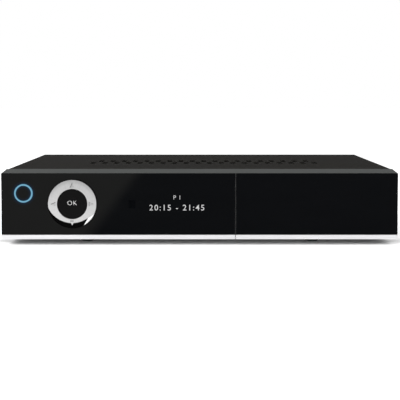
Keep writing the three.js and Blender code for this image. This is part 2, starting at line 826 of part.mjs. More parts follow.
function makeCardReader() {
  const body = box(
    [moduleX - cageWidth / 2, boxFrontY, onBoardZ],
    [moduleX + cageWidth / 2, boxFrontY + cardReaderLength, onBoardZ + cardReaderHeight],
  );
  const slot = box(
    [moduleX - cardSlotWidth / 2, boxFrontY - cutOverrun, cardSlotZ - cardSlotHeight / 2],
    [moduleX + cardSlotWidth / 2, boxFrontY + cardSlotDepth, cardSlotZ + cardSlotHeight / 2],
  );
  return cutFrom(body, [slot]);
}
piece(bayInside, "card_reader", makeCardReader(), materials.blackPlastic);

// A USB socket with its mouth at y = 0, facing -Y, and its middle on the origin's height.
function makeUsbSocket() {
  const shell = box([-usbWidth / 2, 0, -usbHeight / 2], [usbWidth / 2, usbLength, usbHeight / 2]);
  const mouth = box(
    [-usbWidth / 2 + usbWall, -cutOverrun, -usbHeight / 2 + usbWall],
    [usbWidth / 2 - usbWall, usbLength - usbBackWall, usbHeight / 2 - usbWall],
  );
  const tongue = box(
    [-usbTongueWidth / 2, usbTongueInset, 0],
    [usbTongueWidth / 2, usbLength - usbBackWall / 2, usbTongueHeight],
  );
  return shell.subtract(mouth).add(tongue);
}
piece(bayInside, "usb_socket_front", makeUsbSocket(), materials.brightSteel, frontSocketX, boxFrontY, usbZ);

function makeEjectButton() {
  const frontY = bezelFrontY - ejectStandout;
  const cap = box(
    [-ejectCapWidth / 2, frontY, -ejectCapHeight / 2],
    [ejectCapWidth / 2, frontY + ejectCapLength, ejectCapHeight / 2],
  );
  const rod = box(
    [-ejectRodWidth / 2, frontY + ejectCapLength / 2, -ejectRodHeight / 2],
    [ejectRodWidth / 2, ejectRodEndY, ejectRodHeight / 2],
  );
  return cap.add(rod);
}
for (const [name, z] of [["eject_button_lower", moduleMiddles[0]], ["eject_button_upper", moduleMiddles[1]]])
  piece(bayInside, name, makeEjectButton(), materials.blackPlastic, ejectX, 0, z);

// The sheet metal box
const chassis = assembly(receiver);
const lidGap = 0.3; // between the tray's sides and the lid's
const trayHalf = bodyHalf - sheet - lidGap;
const traySideHeight = 14.5;
const trayFlangeHeight = 7.5;
const trayBackY = depth;
const rearWallTopZ = lidTopZ - sheet - lidGap;
const lidBackY = trayBackY + lidGap + sheet;
const lidBend = 2;
const lidInnerBend = lidBend - sheet;
const lidLowZ = baseZ + lidGap;
const lidLipDepth = 8;
const lidLipInset = 2.5; // in from the sides
const standoffRadius = 3.5;
const pegRadius = 1.3; // on a standoff, through the board
const pegStandout = 0.8; // above the board
const pegTopZ = mainBoardTopZ + pegStandout;

// Boards, each with [left, right, front, back]
const boardSideGap = 4.8; // to the lid's outer face
const mainBoardLeft = -32;
const mainBoardFrontGap = 5.7; // behind the box's front
const mainBoardBackGap = 8; // in front of the rear wall's outer face
const mainBoard = [
  mainBoardLeft, bodyHalf - boardSideGap, boxFrontY + mainBoardFrontGap, trayBackY - mainBoardBackGap,
];
const supplyBoardRight = -60;
const supplyBoardLength = 154;
const supplyBoardBackGap = 6;
const supplyBoardBackY = trayBackY - supplyBoardBackGap;
const supplyBoard = [
  boardSideGap - bodyHalf, supplyBoardRight, supplyBoardBackY - supplyBoardLength, supplyBoardBackY,
];
const pegInset = 6; // from a board's side edges
const pegFrontInset = 18;
const pegBackInset = 42;
const pegPlaces = [mainBoard, supplyBoard].flatMap(([left, right, frontEdge, backEdge]) =>
  [left + pegInset, right - pegInset].flatMap((x) =>
    [frontEdge + pegFrontInset, backEdge - pegBackInset].map((y) => [x, y]),
  ),
);

// Feet
const footRadius = 7.2;
const footSideInset = 67.9; // from the lid's outer face
const footFrontInset = 18.7; // behind the box's front
const footBackInset = 30; // in front of the rear wall's outer face
const footX = bodyHalf - footSideInset;
const footRows = [boxFrontY + footFrontInset, trayBackY - footBackInset];
const footStud = 2.2;
const footHole = footStud + fitGap;
const footHeadRadius = 3.2;
const footHeadHeight = 1.2;
const footRound = 1.2;
const footSegments = 20;
const footPlaces = footRows.flatMap((y) => [-footX, footX].map((x) => [x, y]));

// Screws
const screwRadius = 1.3;
const screwHoleRadius = screwRadius + fitGap;
const screwHeadRadius = 2.9;
const screwHeadHeight = 1.5;
const screwLength = 4;
const screwSegments = 12;
const sideScrewZ = 14;
const sideScrewFrontInset = 43.7; // behind the box's front
const sideScrewBackInset = 40; // in front of the rear wall's outer face
const sideScrewRows = [boxFrontY + sideScrewFrontInset, trayBackY - sideScrewBackInset];
const rearScrewDrop = 5; // under the lid's top
const rearScrewZ = lidTopZ - rearScrewDrop;
const rearScrewInset = 49.9; // from the lid's outer face
const rearScrewPlaces = [rearScrewInset - bodyHalf, 0, bodyHalf - rearScrewInset];

// Vents, each row measured from the rear wall's outer face
const topVentLength = 25;
const topVentWidth = 4.6;
const topVentPitch = 11;
const topVentRows = [132.5, 106.5];
const topVentReach = 104.5; // to each side of the row's middle
const topVentMiddleX = 4;
const sideVentLength = 18;
const sideVentWidth = 2.6;
const sideVentPitch = 8;
const sideVentCount = 10;
const sideVentReach = 140; // from the rear wall to the first slot
const sideVentZ = 40;
const floorVentWidth = 3;
const floorVentPitch = 10;
const floorVentLength = 40;
const floorVentStart = 44;
const floorVentCount = 6;
const floorVentReach = 100; // from the rear wall to the middle of the row
const rearVentLength = 14;
const rearVentPitch = 9;
const rearVentStart = -92;
const rearVentCount = 8;
const rearVentZ = 42;

// Sockets at the back, each with its length inside the rear wall's outer face and how far it stands out
const socketWallClearance = 0.4;
const tunerGap = 6; // in front of the rear wall's outer face
const cornerInset = 27.9; // from the lid's outer face to the socket nearest each corner
const tuner = {
  x: bodyHalf - cornerInset, width: 36, height: 20, inside: 44, backY: trayBackY - tunerGap,
};
const aerialRise = 10;
const aerialZ = onBoardZ + aerialRise;
const aerialHalfPitch = 9;
const aerialPlaces = [tuner.x - aerialHalfPitch, tuner.x + aerialHalfPitch];
const aerialRadius = 4.75;
const aerialStandout = 11;
const aerialEndY = trayBackY + aerialStandout;
const aerialNutRadius = 6.35;
const aerialNutThickness = 1.8;
const nutSides = 6;
const aerialBore = 1.5;
const aerialBoreDepth = 8;
const phonoX = -4; // the middle one
const phonoPitch = 16;
const phonoPlaces = {
  phono_socket_yellow: phonoX + phonoPitch,
  phono_socket_white: phonoX,
  phono_socket_red: phonoX - phonoPitch,
};
const phono = { width: 12, height: 14, inside: 16, standout: 9 };
const phonoFrontY = trayBackY - phono.inside;
const phonoEndY = trayBackY + phono.standout;
const phonoRadius = 4.2;
const phonoBore = 1.6;
const phonoBoreDepth = 7;
const phonoRise = 9.1;
const phonoZ = onBoardZ + phonoRise;
const inlet = { x: cornerInset - bodyHalf, width: 20, height: 16, inside: 20, standout: 1 };
const switchPitch = 28; // from the inlet to the mains switch
const mainsSwitch = { x: inlet.x + switchPitch, width: 20, height: 14, inside: 17 };
const mainsSwitchFlange = { width: 23, height: 17 };
const mainsSwitchRise = 9;
const mainsSwitchZ = onBoardZ + mainsSwitchRise;

// Four sockets share the room between the phono sockets and the tuner, with even gaps.
const optical = { width: 10, height: 10.1, inside: 14, standout: 1.4 };
const video = { width: 15.4, height: 6, inside: 14, standout: 0.8 };
const rearUsb = { width: usbWidth, height: usbHeight, standout: 0.7 };
const network = { width: 16, height: 13.5, inside: 17, standout: 0.8 };
const socketRow = [optical, video, rearUsb, network];
const rowLeft = phonoPlaces.phono_socket_yellow + phono.width / 2;
const rowRight = tuner.x - tuner.width / 2;
const rowWidths = socketRow.reduce((sum, socket) => sum + socket.width, 0);
const rowGap = (rowRight - rowLeft - rowWidths) / (socketRow.length + 1);
let rowEnd = rowLeft;
for (const socket of socketRow) {
  socket.x = rowEnd + rowGap + socket.width / 2;
  rowEnd = socket.x + socket.width / 2;
}

// A cut through the rear wall, with a clearance all round a socket of this size.
function rearOpening(x, z, socket) {
  const halfWide = socket.width / 2 + socketWallClearance;
  const halfTall = socket.height / 2 + socketWallClearance;
  return box(
    [x - halfWide, trayBackY - sheet - cutOverrun, z - halfTall],
    [x + halfWide, trayBackY + cutOverrun, z + halfTall],
  );
}

// The same for a socket that stands on the board's level.
function standingOpening(socket) {
  return rearOpening(socket.x, onBoardZ + socket.height / 2, socket);
}

function rearHole(x, z, radius) {
  return barY(x, z, radius + socketWallClearance, trayBackY - sheet - cutOverrun, trayBackY + cutOverrun);
}

// A row of upright slots in the rear wall.
function rearVents() {
  return Array.from({ length: rearVentCount }, (_, i) =>
    plateXZ(
      slotShape(rearVentStart + i * rearVentPitch, rearVentZ, sideVentWidth, rearVentLength, false),
      trayBackY - sheet - cutOverrun,
      trayBackY + cutOverrun,
      ventPieces,
    ),
  );
}

function makeTray() {
  const walls = [
    box([-trayHalf, boxFrontY, baseZ], [trayHalf, trayBackY, baseZ + sheet]),
    box([-trayHalf, boxFrontY, baseZ], [-trayHalf + sheet, trayBackY, baseZ + traySideHeight]),
    box([trayHalf - sheet, boxFrontY, baseZ], [trayHalf, trayBackY, baseZ + traySideHeight]),
    box([-trayHalf, boxFrontY, baseZ], [trayHalf, boxFrontY + sheet, baseZ + trayFlangeHeight]),
    box([-trayHalf, trayBackY - sheet, baseZ], [trayHalf, trayBackY, rearWallTopZ]),
  ];
  const standoffs = pegPlaces.flatMap(([x, y]) => [
    barZ(x, y, standoffRadius, baseZ + sheet / 2, mainBoardZ - fitGap, fewSegments),
    barZ(x, y, pegRadius, mainBoardZ - sheet, pegTopZ, fewSegments),
  ]);
  const footHoles = footPlaces.map(([x, y]) =>
    barZ(x, y, footHole, baseZ - cutOverrun, baseZ + sheet + cutOverrun, fewSegments),
  );
  const sideHoles = sideScrewRows.map((y) =>
    barX(y, sideScrewZ, screwHoleRadius, -halfWidth, halfWidth, fewSegments),
  );
  const rearHoles = rearScrewPlaces.map((x) =>
    barY(x, rearScrewZ, screwHoleRadius, trayBackY - sheet - cutOverrun, trayBackY + cutOverrun, fewSegments),
  );
  const floorVents = [-1, 1].flatMap((side) =>
    Array.from({ length: floorVentCount }, (_, i) =>
      plateXY(
        slotShape(
          side * (floorVentStart + i * floorVentPitch),
          trayBackY - floorVentReach,
          floorVentWidth,
          floorVentLength,
          false,
        ),
        baseZ - cutOverrun,
        baseZ + sheet + cutOverrun,
        ventPieces,
      ),
    ),
  );
  const openings = [
    ...aerialPlaces.map((x) => rearHole(x, aerialZ, aerialRadius)),
    ...[...socketRow, inlet].map(standingOpening),
    ...Object.values(phonoPlaces).map((x) => rearHole(x, phonoZ, phonoRadius)),
    rearOpening(mainsSwitch.x, mainsSwitchZ, mainsSwitch),
  ];
  return cutFrom(joined([...walls, ...standoffs]), [
    ...footHoles, ...sideHoles, ...rearHoles, ...floorVents, ...rearVents(), ...openings,
  ]);
}
piece(chassis, "base_tray", makeTray(), materials.steel);

// The lid: a bent sheet over the tray, with a lip behind, and slots in its top and sides.
function makeLid() {
  const outline = new THREE.Shape();
  outline.moveTo(-bodyHalf, lidLowZ);
  outline.lineTo(-bodyHalf + sheet, lidLowZ);
  outline.absarc(-bodyHalf + lidBend, lidTopZ - lidBend, lidInnerBend, Math.PI, Math.PI / 2, true);
  outline.absarc(bodyHalf - lidBend, lidTopZ - lidBend, lidInnerBend, Math.PI / 2, 0, true);
  outline.lineTo(bodyHalf - sheet, lidLowZ);
  outline.lineTo(bodyHalf, lidLowZ);
  outline.absarc(bodyHalf - lidBend, lidTopZ - lidBend, lidBend, 0, Math.PI / 2, false);
  outline.absarc(-bodyHalf + lidBend, lidTopZ - lidBend, lidBend, Math.PI / 2, Math.PI, false);
  outline.closePath();
  const shell = plateXZ(outline, boxFrontY, lidBackY, cornerPieces);
  const lip = box(
    [-bodyHalf + lidLipInset, lidBackY - sheet, lidTopZ - lidLipDepth],
    [bodyHalf - lidLipInset, lidBackY, lidTopZ - sheet / 2],
  );
  const topVents = topVentRows.flatMap((fromBack, row) => {
    const reach = topVentReach - (row * topVentPitch) / 2;
    const count = Math.round((reach * 2) / topVentPitch) + 1;
    return Array.from({ length: count }, (_, i) =>
      plateXY(
        slotShape(
          topVentMiddleX - reach + i * topVentPitch, trayBackY - fromBack, topVentWidth, topVentLength, false,
        ),
        lidTopZ - sheet - cutOverrun,
        lidTopZ + cutOverrun,
        ventPieces,
      ),
    );
  });
  const sideVents = Array.from({ length: sideVentCount }, (_, i) =>
    plateYZ(
      slotShape(
        trayBackY - sideVentReach + i * sideVentPitch, sideVentZ, sideVentWidth, sideVentLength, false,
      ),
      -halfWidth,
      halfWidth,
      ventPieces,
    ),
  );
  const sideHoles = sideScrewRows.map((y) =>
    barX(y, sideScrewZ, screwHoleRadius, -halfWidth, halfWidth, fewSegments),
  );
  const rearHoles = rearScrewPlaces.map((x) =>
    barY(x, rearScrewZ, screwHoleRadius, lidBackY - sheet - cutOverrun, lidBackY + cutOverrun, fewSegments),
  );
  return cutFrom(shell.add(lip), [...topVents, ...sideVents, ...sideHoles, ...rearHoles]);
}
piece(chassis, "lid", makeLid(), materials.lidPaint);

// A foot: a rubber disc with a stud that snaps into the tray.
function makeFoot() {
  const headZ = baseZ + sheet + fitGap;
  const footTopZ = baseZ - fitGap;
  const pad = barZ(0, 0, footRadius, footRound, footTopZ, footSegments);
  const tread = barZ(0, 0, footRadius - footRound, 0, footTopZ, footSegments);
  const stud = barZ(0, 0, footStud, footTopZ - sheet, headZ + footHeadHeight, fewSegments);
  const head = barZ(0, 0, footHeadRadius, headZ, headZ + footHeadHeight, fewSegments);
  return joined([pad, tread, stud, head]);
}
footPlaces.forEach(([x, y], i) => {
  piece(chassis, `foot_${i + 1}`, makeFoot(), materials.rubber, x, y, 0);
});

// A screw with its head's underside at the origin and its shank along +Y, and a slot across its head.
function makeScrew() {
  const slotDepth = 0.7;
  const slotWidth = 0.8;
  const head = barY(0, 0, screwHeadRadius, -screwHeadHeight, 0, screwSegments);
  const shank = barY(0, 0, screwRadius, -screwHeadHeight / 2, screwLength, fewSegments);
  const across = box(
    [-slotWidth / 2, -screwHeadHeight - cutOverrun, -screwHeadRadius],
    [slotWidth / 2, -screwHeadHeight + slotDepth, screwHeadRadius],
  );
  return head.add(shank).subtract(across);
}
const sideScrewX = bodyHalf + fitGap;
let sideScrews = 0;
for (const y of sideScrewRows)
  for (const side of [-1, 1]) {
    sideScrews += 1;
    const screw = makeScrew().rotate([0, 0, side * 90]);
    const name = `side_screw_${sideScrews}`;
    piece(chassis, name, screw, materials.brightSteel, side * sideScrewX, y, sideScrewZ);
  }
rearScrewPlaces.forEach((x, i) => {
  const screw = makeScrew().rotate([0, 0, 180]);
  piece(chassis, `rear_screw_${i + 1}`, screw, materials.brightSteel, x, lidBackY + fitGap, rearScrewZ);
});

// Boards, with a hole over each of the tray's pegs
const inside = assembly(receiver);

function makeBoard([left, right, frontEdge, backEdge]) {
  const holes = pegPlaces.map(([x, y]) =>
    barZ(x, y, pegRadius + fitGap, mainBoardZ - cutOverrun, mainBoardTopZ + cutOverrun, fewSegments),
  );
  return cutFrom(box([left, frontEdge, mainBoardZ], [right, backEdge, mainBoardTopZ]), holes);
}
piece(inside, "main_board", makeBoard(mainBoard), materials.greenBoard);
piece(inside, "power_supply_board", makeBoard(supplyBoard), materials.greenBoard);

// The chip cooler: a base with upright fins.
const coolerSize = 40;
const coolerGap = 10; // behind the module cage
const coolerToModule = 14;
const coolerX = moduleX - coolerToModule;
const coolerY = cageBackY + coolerGap + coolerSize / 2;
const coolerBase = 5;
const coolerHeight = 18;
const finCount = 9;
const finThickness = 1.4;

function makeCooler() {
  const half = coolerSize / 2;
  const base = box([-half, -half, 0], [half, half, coolerBase]);
  const step = (coolerSize - finThickness) / (finCount - 1);
  const fins = Array.from({ length: finCount }, (_, i) =>
    box([-half + i * step, -half, coolerBase / 2], [-half + i * step + finThickness, half, coolerHeight]),
  );
  return joined([base, ...fins]);
}
piece(inside, "chip_cooler", makeCooler(), materials.aluminium, coolerX, coolerY, onBoardZ);

// The transformer: a ferrite frame round a taped winding.
const transformerReach = 100; // from the rear wall
const transformerX = mainsSwitch.x;
const transformerY = trayBackY - transformerReach;
const transformerWidth = 30;
const transformerDepth = 26;
const transformerHeight = 22;
const transformerFrame = 6;
const windingInset = 1.5;
const windingReach = 3;

function makeTransformer() {
  const halfWide = transformerWidth / 2;
  const halfDeep = transformerDepth / 2;
  const frame = box([-halfWide, -halfDeep, 0], [halfWide, halfDeep, transformerHeight]);
  const window = box(
    [-halfWide + transformerFrame, -halfDeep - cutOverrun, transformerFrame],
    [halfWide - transformerFrame, halfDeep + cutOverrun, transformerHeight - transformerFrame],
  );
  const winding = box(
    [-halfWide + transformerFrame - windingInset, -halfDeep - windingReach, transformerFrame - windingInset],
    [
      halfWide - transformerFrame + windingInset,
      halfDeep + windingReach,
      transformerHeight - transformerFrame + windingInset,
    ],
  );
  return frame.subtract(window).add(winding);
}
piece(inside, "transformer", makeTransformer(), materials.yellowTape, transformerX, transformerY, onBoardZ);

// The filter capacitor: a can with a rolled groove and a scored top.
const canRadius = 9;
const canHeight = 30;
const canReach = 65; // from the rear wall
const canX = inlet.x;
const canY = trayBackY - canReach;
const canGrooveZ = 3.2;
const canGrooveDepth = 0.7;
const canRound = 1.2;
const scoreDepth = 0.4;
const scoreWidth = 0.8;

function makeCan() {
  const geometry = new THREE.LatheGeometry(
    [
      [0, 0],
      [canRadius, 0],
      [canRadius, canGrooveZ - canGrooveDepth],
      [canRadius - canGrooveDepth, canGrooveZ],
      [canRadius, canGrooveZ + canGrooveDepth],
      [canRadius, canHeight - canRound],
      [canRadius - canRound, canHeight],
      [0, canHeight],
    ].map(([radius, up]) => new THREE.Vector2(radius, up)),
    footSegments,
  );
  geometry.rotateX(Math.PI / 2);
  const scoreReach = canRadius - canRound * 2;
  const scores = [
    [scoreReach, scoreWidth / 2],
    [scoreWidth / 2, scoreReach],
  ].map(([x, y]) => box([-x, -y, canHeight - scoreDepth], [x, y, canHeight + cutOverrun]));
  return cutFrom(solid(geometry), scores);
}
piece(inside, "filter_capacitor", makeCan(), materials.aluminium, canX, canY, onBoardZ);

// The ribbon from the front board to the main board, with a connector at each end.
const ribbonX = 10;
const ribbonWidth = 20;
const ribbonThickness = 0.5;
const connectorMargin = 1;
const ribbonTopZ = 24;
const ribbonStartY = frontBoardBackY + fitGap;
const frontConnectorLength = 3;
const frontConnectorHalfHeight = 3;
const ribbonBendY = 24;
const ribbonEndY = 31;
const boardConnectorHeight = 4;
const boardConnectorHalf = 2;

function makeRibbon() {
  const section = polygon([
    [ribbonStartY + frontConnectorLength / 2, ribbonTopZ],
    [ribbonStartY + frontConnectorLength / 2, ribbonTopZ + ribbonThickness],
    [ribbonBendY + ribbonThickness / 2, ribbonTopZ + ribbonThickness],
    [ribbonEndY + ribbonThickness, onBoardZ + boardConnectorHeight + ribbonThickness],
    [ribbonEndY + ribbonThickness, onBoardZ + boardConnectorHeight / 2],
    [ribbonEndY, onBoardZ + boardConnectorHeight / 2],
    [ribbonEndY, onBoardZ + boardConnectorHeight + ribbonThickness / 2],
    [ribbonBendY, ribbonTopZ],
  ]);
  const half = ribbonWidth / 2;
  const connectorHalf = half + connectorMargin;
  const strap = plateYZ(section, -half, half);
  const frontConnector = box(
    [-connectorHalf, ribbonStartY, ribbonTopZ - frontConnectorHalfHeight],
    [connectorHalf, ribbonStartY + frontConnectorLength, ribbonTopZ + frontConnectorHalfHeight],
  );
  const boardConnector = box(
    [-connectorHalf, ribbonEndY - boardConnectorHalf, onBoardZ],
    [connectorHalf, ribbonEndY + boardConnectorHalf, onBoardZ + boardConnectorHeight],
  );
  return joined([strap, frontConnector, boardConnector]);
}
piece(inside, "ribbon_cable", makeRibbon(), materials.paleRibbon, ribbonX);

// Sockets along the back
const back = assembly(inside, 0, 0, onBoardZ);

function standingBox(socket, endY) {
  return box([-socket.width / 2, trayBackY - socket.inside, 0], [socket.width / 2, endY, socket.height]);
}

piece(back, "tuner_module", standingBox(tuner, tuner.backY), materials.brightSteel, tuner.x);

// An aerial socket: a threaded barrel with a nut outside the rear wall and a bore for the plug's pin.
function makeAerialSocket() {
  const barrel = barY(0, 0, aerialRadius, tuner.backY + fitGap, aerialEndY);
  const nut = barY(
    0, 0, aerialNutRadius, trayBackY + fitGap, trayBackY + fitGap + aerialNutThickness, nutSides,
  );
  const bore = barY(0, 0, aerialBore, aerialEndY - aerialBoreDepth, aerialEndY + cutOverrun, fewSegments);
  return barrel.add(nut).subtract(bore);
}
aerialPlaces.forEach((x, i) => {
  piece(back, `aerial_socket_${i + 1}`, makeAerialSocket(), materials.brightSteel, x, 0, aerialZ - onBoardZ);
});

// The network socket: its mouth has a keyway for the plug's latch.
function makeNetworkSocket() {
  const endY = trayBackY + network.standout;
  const mouthWidth = 11.8;
  const mouthHeight = 7;
  const mouthLow = 2;
  const mouthDepth = 12;
  const keyWidth = 6;
  const keyHeight = 2.4;
  const mouth = box(
    [-mouthWidth / 2, endY - mouthDepth, mouthLow],
    [mouthWidth / 2, endY + cutOverrun, mouthLow + mouthHeight],
  );
  const key = box(
    [-keyWidth / 2, endY - mouthDepth, mouthLow + mouthHeight / 2],
    [keyWidth / 2, endY + cutOverrun, mouthLow + mouthHeight + keyHeight],
  );
  return cutFrom(standingBox(network, endY), [mouth, key]);
}
piece(back, "network_socket", makeNetworkSocket(), materials.brightSteel, network.x);

piece(
  back,
  "usb_socket_rear",
  makeUsbSocket().rotate([0, 0, 180]),
  materials.brightSteel,
  rearUsb.x,
  trayBackY + rearUsb.standout,
  usbHeight / 2,
);

// The video socket: a shell with its lower corners cut off and a tongue inside.
function makeVideoSocket() {
  const endY = trayBackY + video.standout;
  const wall = 0.6;
  const chamfer = 1.8;
  const mouthDepth = 11;
  const tongueHeight = 1.2;
  const tongueInset = 2.2;
  const tongueMargin = 2.4;
  const half = video.width / 2 - wall;
  const mouth = plateXZ(
    polygon([
      [-half, wall + chamfer],
      [-half + chamfer, wall],
      [half - chamfer, wall],
      [half, wall + chamfer],
      [half, video.height - wall],
      [-half, video.height - wall],
    ]),
    endY - mouthDepth,
    endY + cutOverrun,
  );
  const tongue = box(
    [-half + tongueMargin, endY - mouthDepth - wall, video.height / 2],
    [half - tongueMargin, endY - tongueInset, video.height / 2 + tongueHeight],
  );
  return standingBox(video, endY).subtract(mouth).add(tongue);
}
piece(back, "video_socket", makeVideoSocket(), materials.brightSteel, video.x);

// The optical socket, with the outline of its shutter.
function makeOpticalSocket() {
  const endY = trayBackY + optical.standout;
  const shutter = 6.4;
  const shutterInset = 0.6;
  const middle = optical.height / 2;
  const recess = box(
    [-shutter / 2, endY - shutterInset, middle - shutter / 2],
    [shutter / 2, endY + cutOverrun, middle + shutter / 2],
  );
  return standingBox(optical, endY).subtract(recess);
}
piece(back, "optical_socket", makeOpticalSocket(), materials.blackPlastic, optical.x);

// The three phono sockets, each a barrel on a block.
const phonoColours = {
  phono_socket_yellow: materials.yellowTape,
  phono_socket_white: materials.whitePlastic,
  phono_socket_red: materials.redPlastic,
};
const phonoShoulder = 0.3; // between the block and the rear wall

function makePhonoSocket() {
  const block = box(
    [-phono.width / 2, phonoFrontY, 0],
    [phono.width / 2, trayBackY - sheet - phonoShoulder, phono.height],
  );
  const barrel = barY(0, phonoZ - onBoardZ, phonoRadius, phonoFrontY + sheet, phonoEndY);
  const bore = barY(
    0, phonoZ - onBoardZ, phonoBore, phonoEndY - phonoBoreDepth, phonoEndY + cutOverrun, fewSegments,
  );
  return block.add(barrel).subtract(bore);
}
for (const [name, x] of Object.entries(phonoPlaces))
  piece(back, name, makePhonoSocket(), phonoColours[name], x);

// The mains inlet: a figure-of-eight mouth with two pins.
function makeInlet() {
  const endY = trayBackY + inlet.standout;
  const mouthWidth = 16;
  const mouthHeight = 9;
  const mouthDepth = 12;
  const pinOffset = 4.3;
  const inletPinRadius = 1.2;
  const pinInset = 2;
  const middle = inlet.height / 2;
  const mouth = plateXZ(
    slotShape(0, middle, mouthHeight, mouthWidth, true), endY - mouthDepth, endY + cutOverrun, fewSegments,
  );
  const pins = [-1, 1].map((side) =>
    barY(side * pinOffset, middle, inletPinRadius, endY - mouthDepth - sheet, endY - pinInset, fewSegments),
  );
  return joined([standingBox(inlet, endY).subtract(mouth), ...pins]);
}
piece(back, "mains_inlet", makeInlet(), materials.blackPlastic, inlet.x);

// The mains switch: a rocker that turns about an upright axis in its housing, and rests tilted one way.
const rockerWidth = 16.8;
const rockerEndSlant = 1; // each end leans in, clear of the well as it turns
const wellMargin = 0.7; // at each end of the rocker
const rockerHeight = 11.4;
const rockerTilt = 8; // degrees from level at rest
const rockerPivotInset = 4; // from the rear wall's outer face
const rockerPivotY = trayBackY - rockerPivotInset;
const rockerFaceReach = 6; // from the pivot to the level face
const rockerDepth = 3.4;
const rockerPinRadius = 1.2;
const rockerPinReach = 0.8;
const rockerPinClearance = 0.25;
const housingFrontY = trayBackY - mainsSwitch.inside;
const housingFlange = 1.5;
const housingBackWall = 2;

const mainsSwitchGroup = assembly(back, mainsSwitch.x, 0, mainsSwitchZ - onBoardZ);

function makeSwitchHousing() {
  const flangeY = trayBackY + fitGap;
  const endY = flangeY + housingFlange;
  const block = ({ width: wide, height: tall }, frontY, backY) =>
    box([-wide / 2, frontY, -tall / 2], [wide / 2, backY, tall / 2]);
  const body = block(mainsSwitch, housingFrontY, flangeY + housingFlange / 2);
  const flange = block(mainsSwitchFlange, flangeY, endY);
  const well = box(
    [-rockerWidth / 2 - wellMargin, housingFrontY + housingBackWall, -rockerHeight / 2 - fitGap],
    [rockerWidth / 2 + wellMargin, endY + cutOverrun, rockerHeight / 2 + fitGap],
  );
  const pinHole = barZ(
    0,
    rockerPivotY,
    rockerPinRadius + rockerPinClearance,
    -rockerHeight / 2 - rockerPinReach,
    rockerHeight / 2 + rockerPinReach,
    fewSegments,
  );
  return cutFrom(body.add(flange), [well, pinHole]);
}
piece(mainsSwitchGroup, "mains_switch_housing", makeSwitchHousing(), materials.blackPlastic);

function makeRocker() {
  const half = rockerWidth / 2;
  const tilt = Math.tan((rockerTilt * Math.PI) / 180);
  const hub = 2.2;
  const faceHalf = half - rockerEndSlant;
  const outline = polygon([
    [-half, rockerFaceReach - rockerDepth],
    [-hub, -hub],
    [hub, -hub],
    [half, rockerFaceReach - rockerDepth],
    [faceHalf, rockerFaceReach + faceHalf * tilt],
    [0, rockerFaceReach],
    [-faceHalf, rockerFaceReach + faceHalf * tilt],
  ]);
  const body = plateXY(outline, -rockerHeight / 2, rockerHeight / 2);
  const pin = barZ(
    0,
    0,
    rockerPinRadius,
    -rockerHeight / 2 - rockerPinReach + rockerPinClearance,
    rockerHeight / 2 + rockerPinReach - rockerPinClearance,
    fewSegments,
  );
  return body.add(pin).rotate([0, 0, rockerTilt]);
}
piece(mainsSwitchGroup, "mains_switch_rocker", makeRocker(), materials.redPlastic, 0, rockerPivotY);

// The origin sits under the middle of the whole depth, from the ring's front to the aerial sockets' ends.
receiver.position.y = -(aerialEndY - ringStandout) / 2;

export default receiver;
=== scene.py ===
"""Dresses the satellite TV receiver: finishes, fine parts, lettering, light and camera."""

import math

import bpy
import numpy as np
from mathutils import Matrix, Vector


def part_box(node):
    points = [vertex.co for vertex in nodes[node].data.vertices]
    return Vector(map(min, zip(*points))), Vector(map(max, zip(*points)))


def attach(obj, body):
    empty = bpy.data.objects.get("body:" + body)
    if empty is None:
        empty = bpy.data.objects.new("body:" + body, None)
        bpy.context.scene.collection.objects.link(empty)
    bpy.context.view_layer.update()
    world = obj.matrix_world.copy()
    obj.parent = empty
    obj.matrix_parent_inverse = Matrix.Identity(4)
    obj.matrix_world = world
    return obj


MM = 0.001

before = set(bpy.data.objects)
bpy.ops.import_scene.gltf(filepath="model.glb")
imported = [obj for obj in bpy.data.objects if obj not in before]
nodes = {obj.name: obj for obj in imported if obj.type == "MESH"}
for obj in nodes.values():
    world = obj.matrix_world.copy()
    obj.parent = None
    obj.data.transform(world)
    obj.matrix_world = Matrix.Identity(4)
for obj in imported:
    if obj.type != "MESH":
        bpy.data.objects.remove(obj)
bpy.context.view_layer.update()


# Shader maths


class Value:
    """A shader socket that takes part in sums: each operator adds its Math node."""

    def __init__(self, paint, socket):
        self.paint = paint
        self.socket = socket

    def __add__(self, other):
        return self.paint.maths("ADD", self, other)

    __radd__ = __add__

    def __sub__(self, other):
        return self.paint.maths("SUBTRACT", self, other)

    def __rsub__(self, other):
        return self.paint.maths("SUBTRACT", other, self)

    def __mul__(self, other):
        return self.paint.maths("MULTIPLY", self, other)

    __rmul__ = __mul__

    def __gt__(self, other):
        return self.paint.maths("GREATER_THAN", self, other)

    def __lt__(self, other):
        return self.paint.maths("LESS_THAN", self, other)

    def clipped(self, low, high):
        """This value, spread so that low becomes 0 and high becomes 1, and held between them."""
        sockets = {"Value": self, "From Min": low, "From Max": high}
        return self.paint.add("ShaderNodeMapRange", {"clamp": True}, sockets)


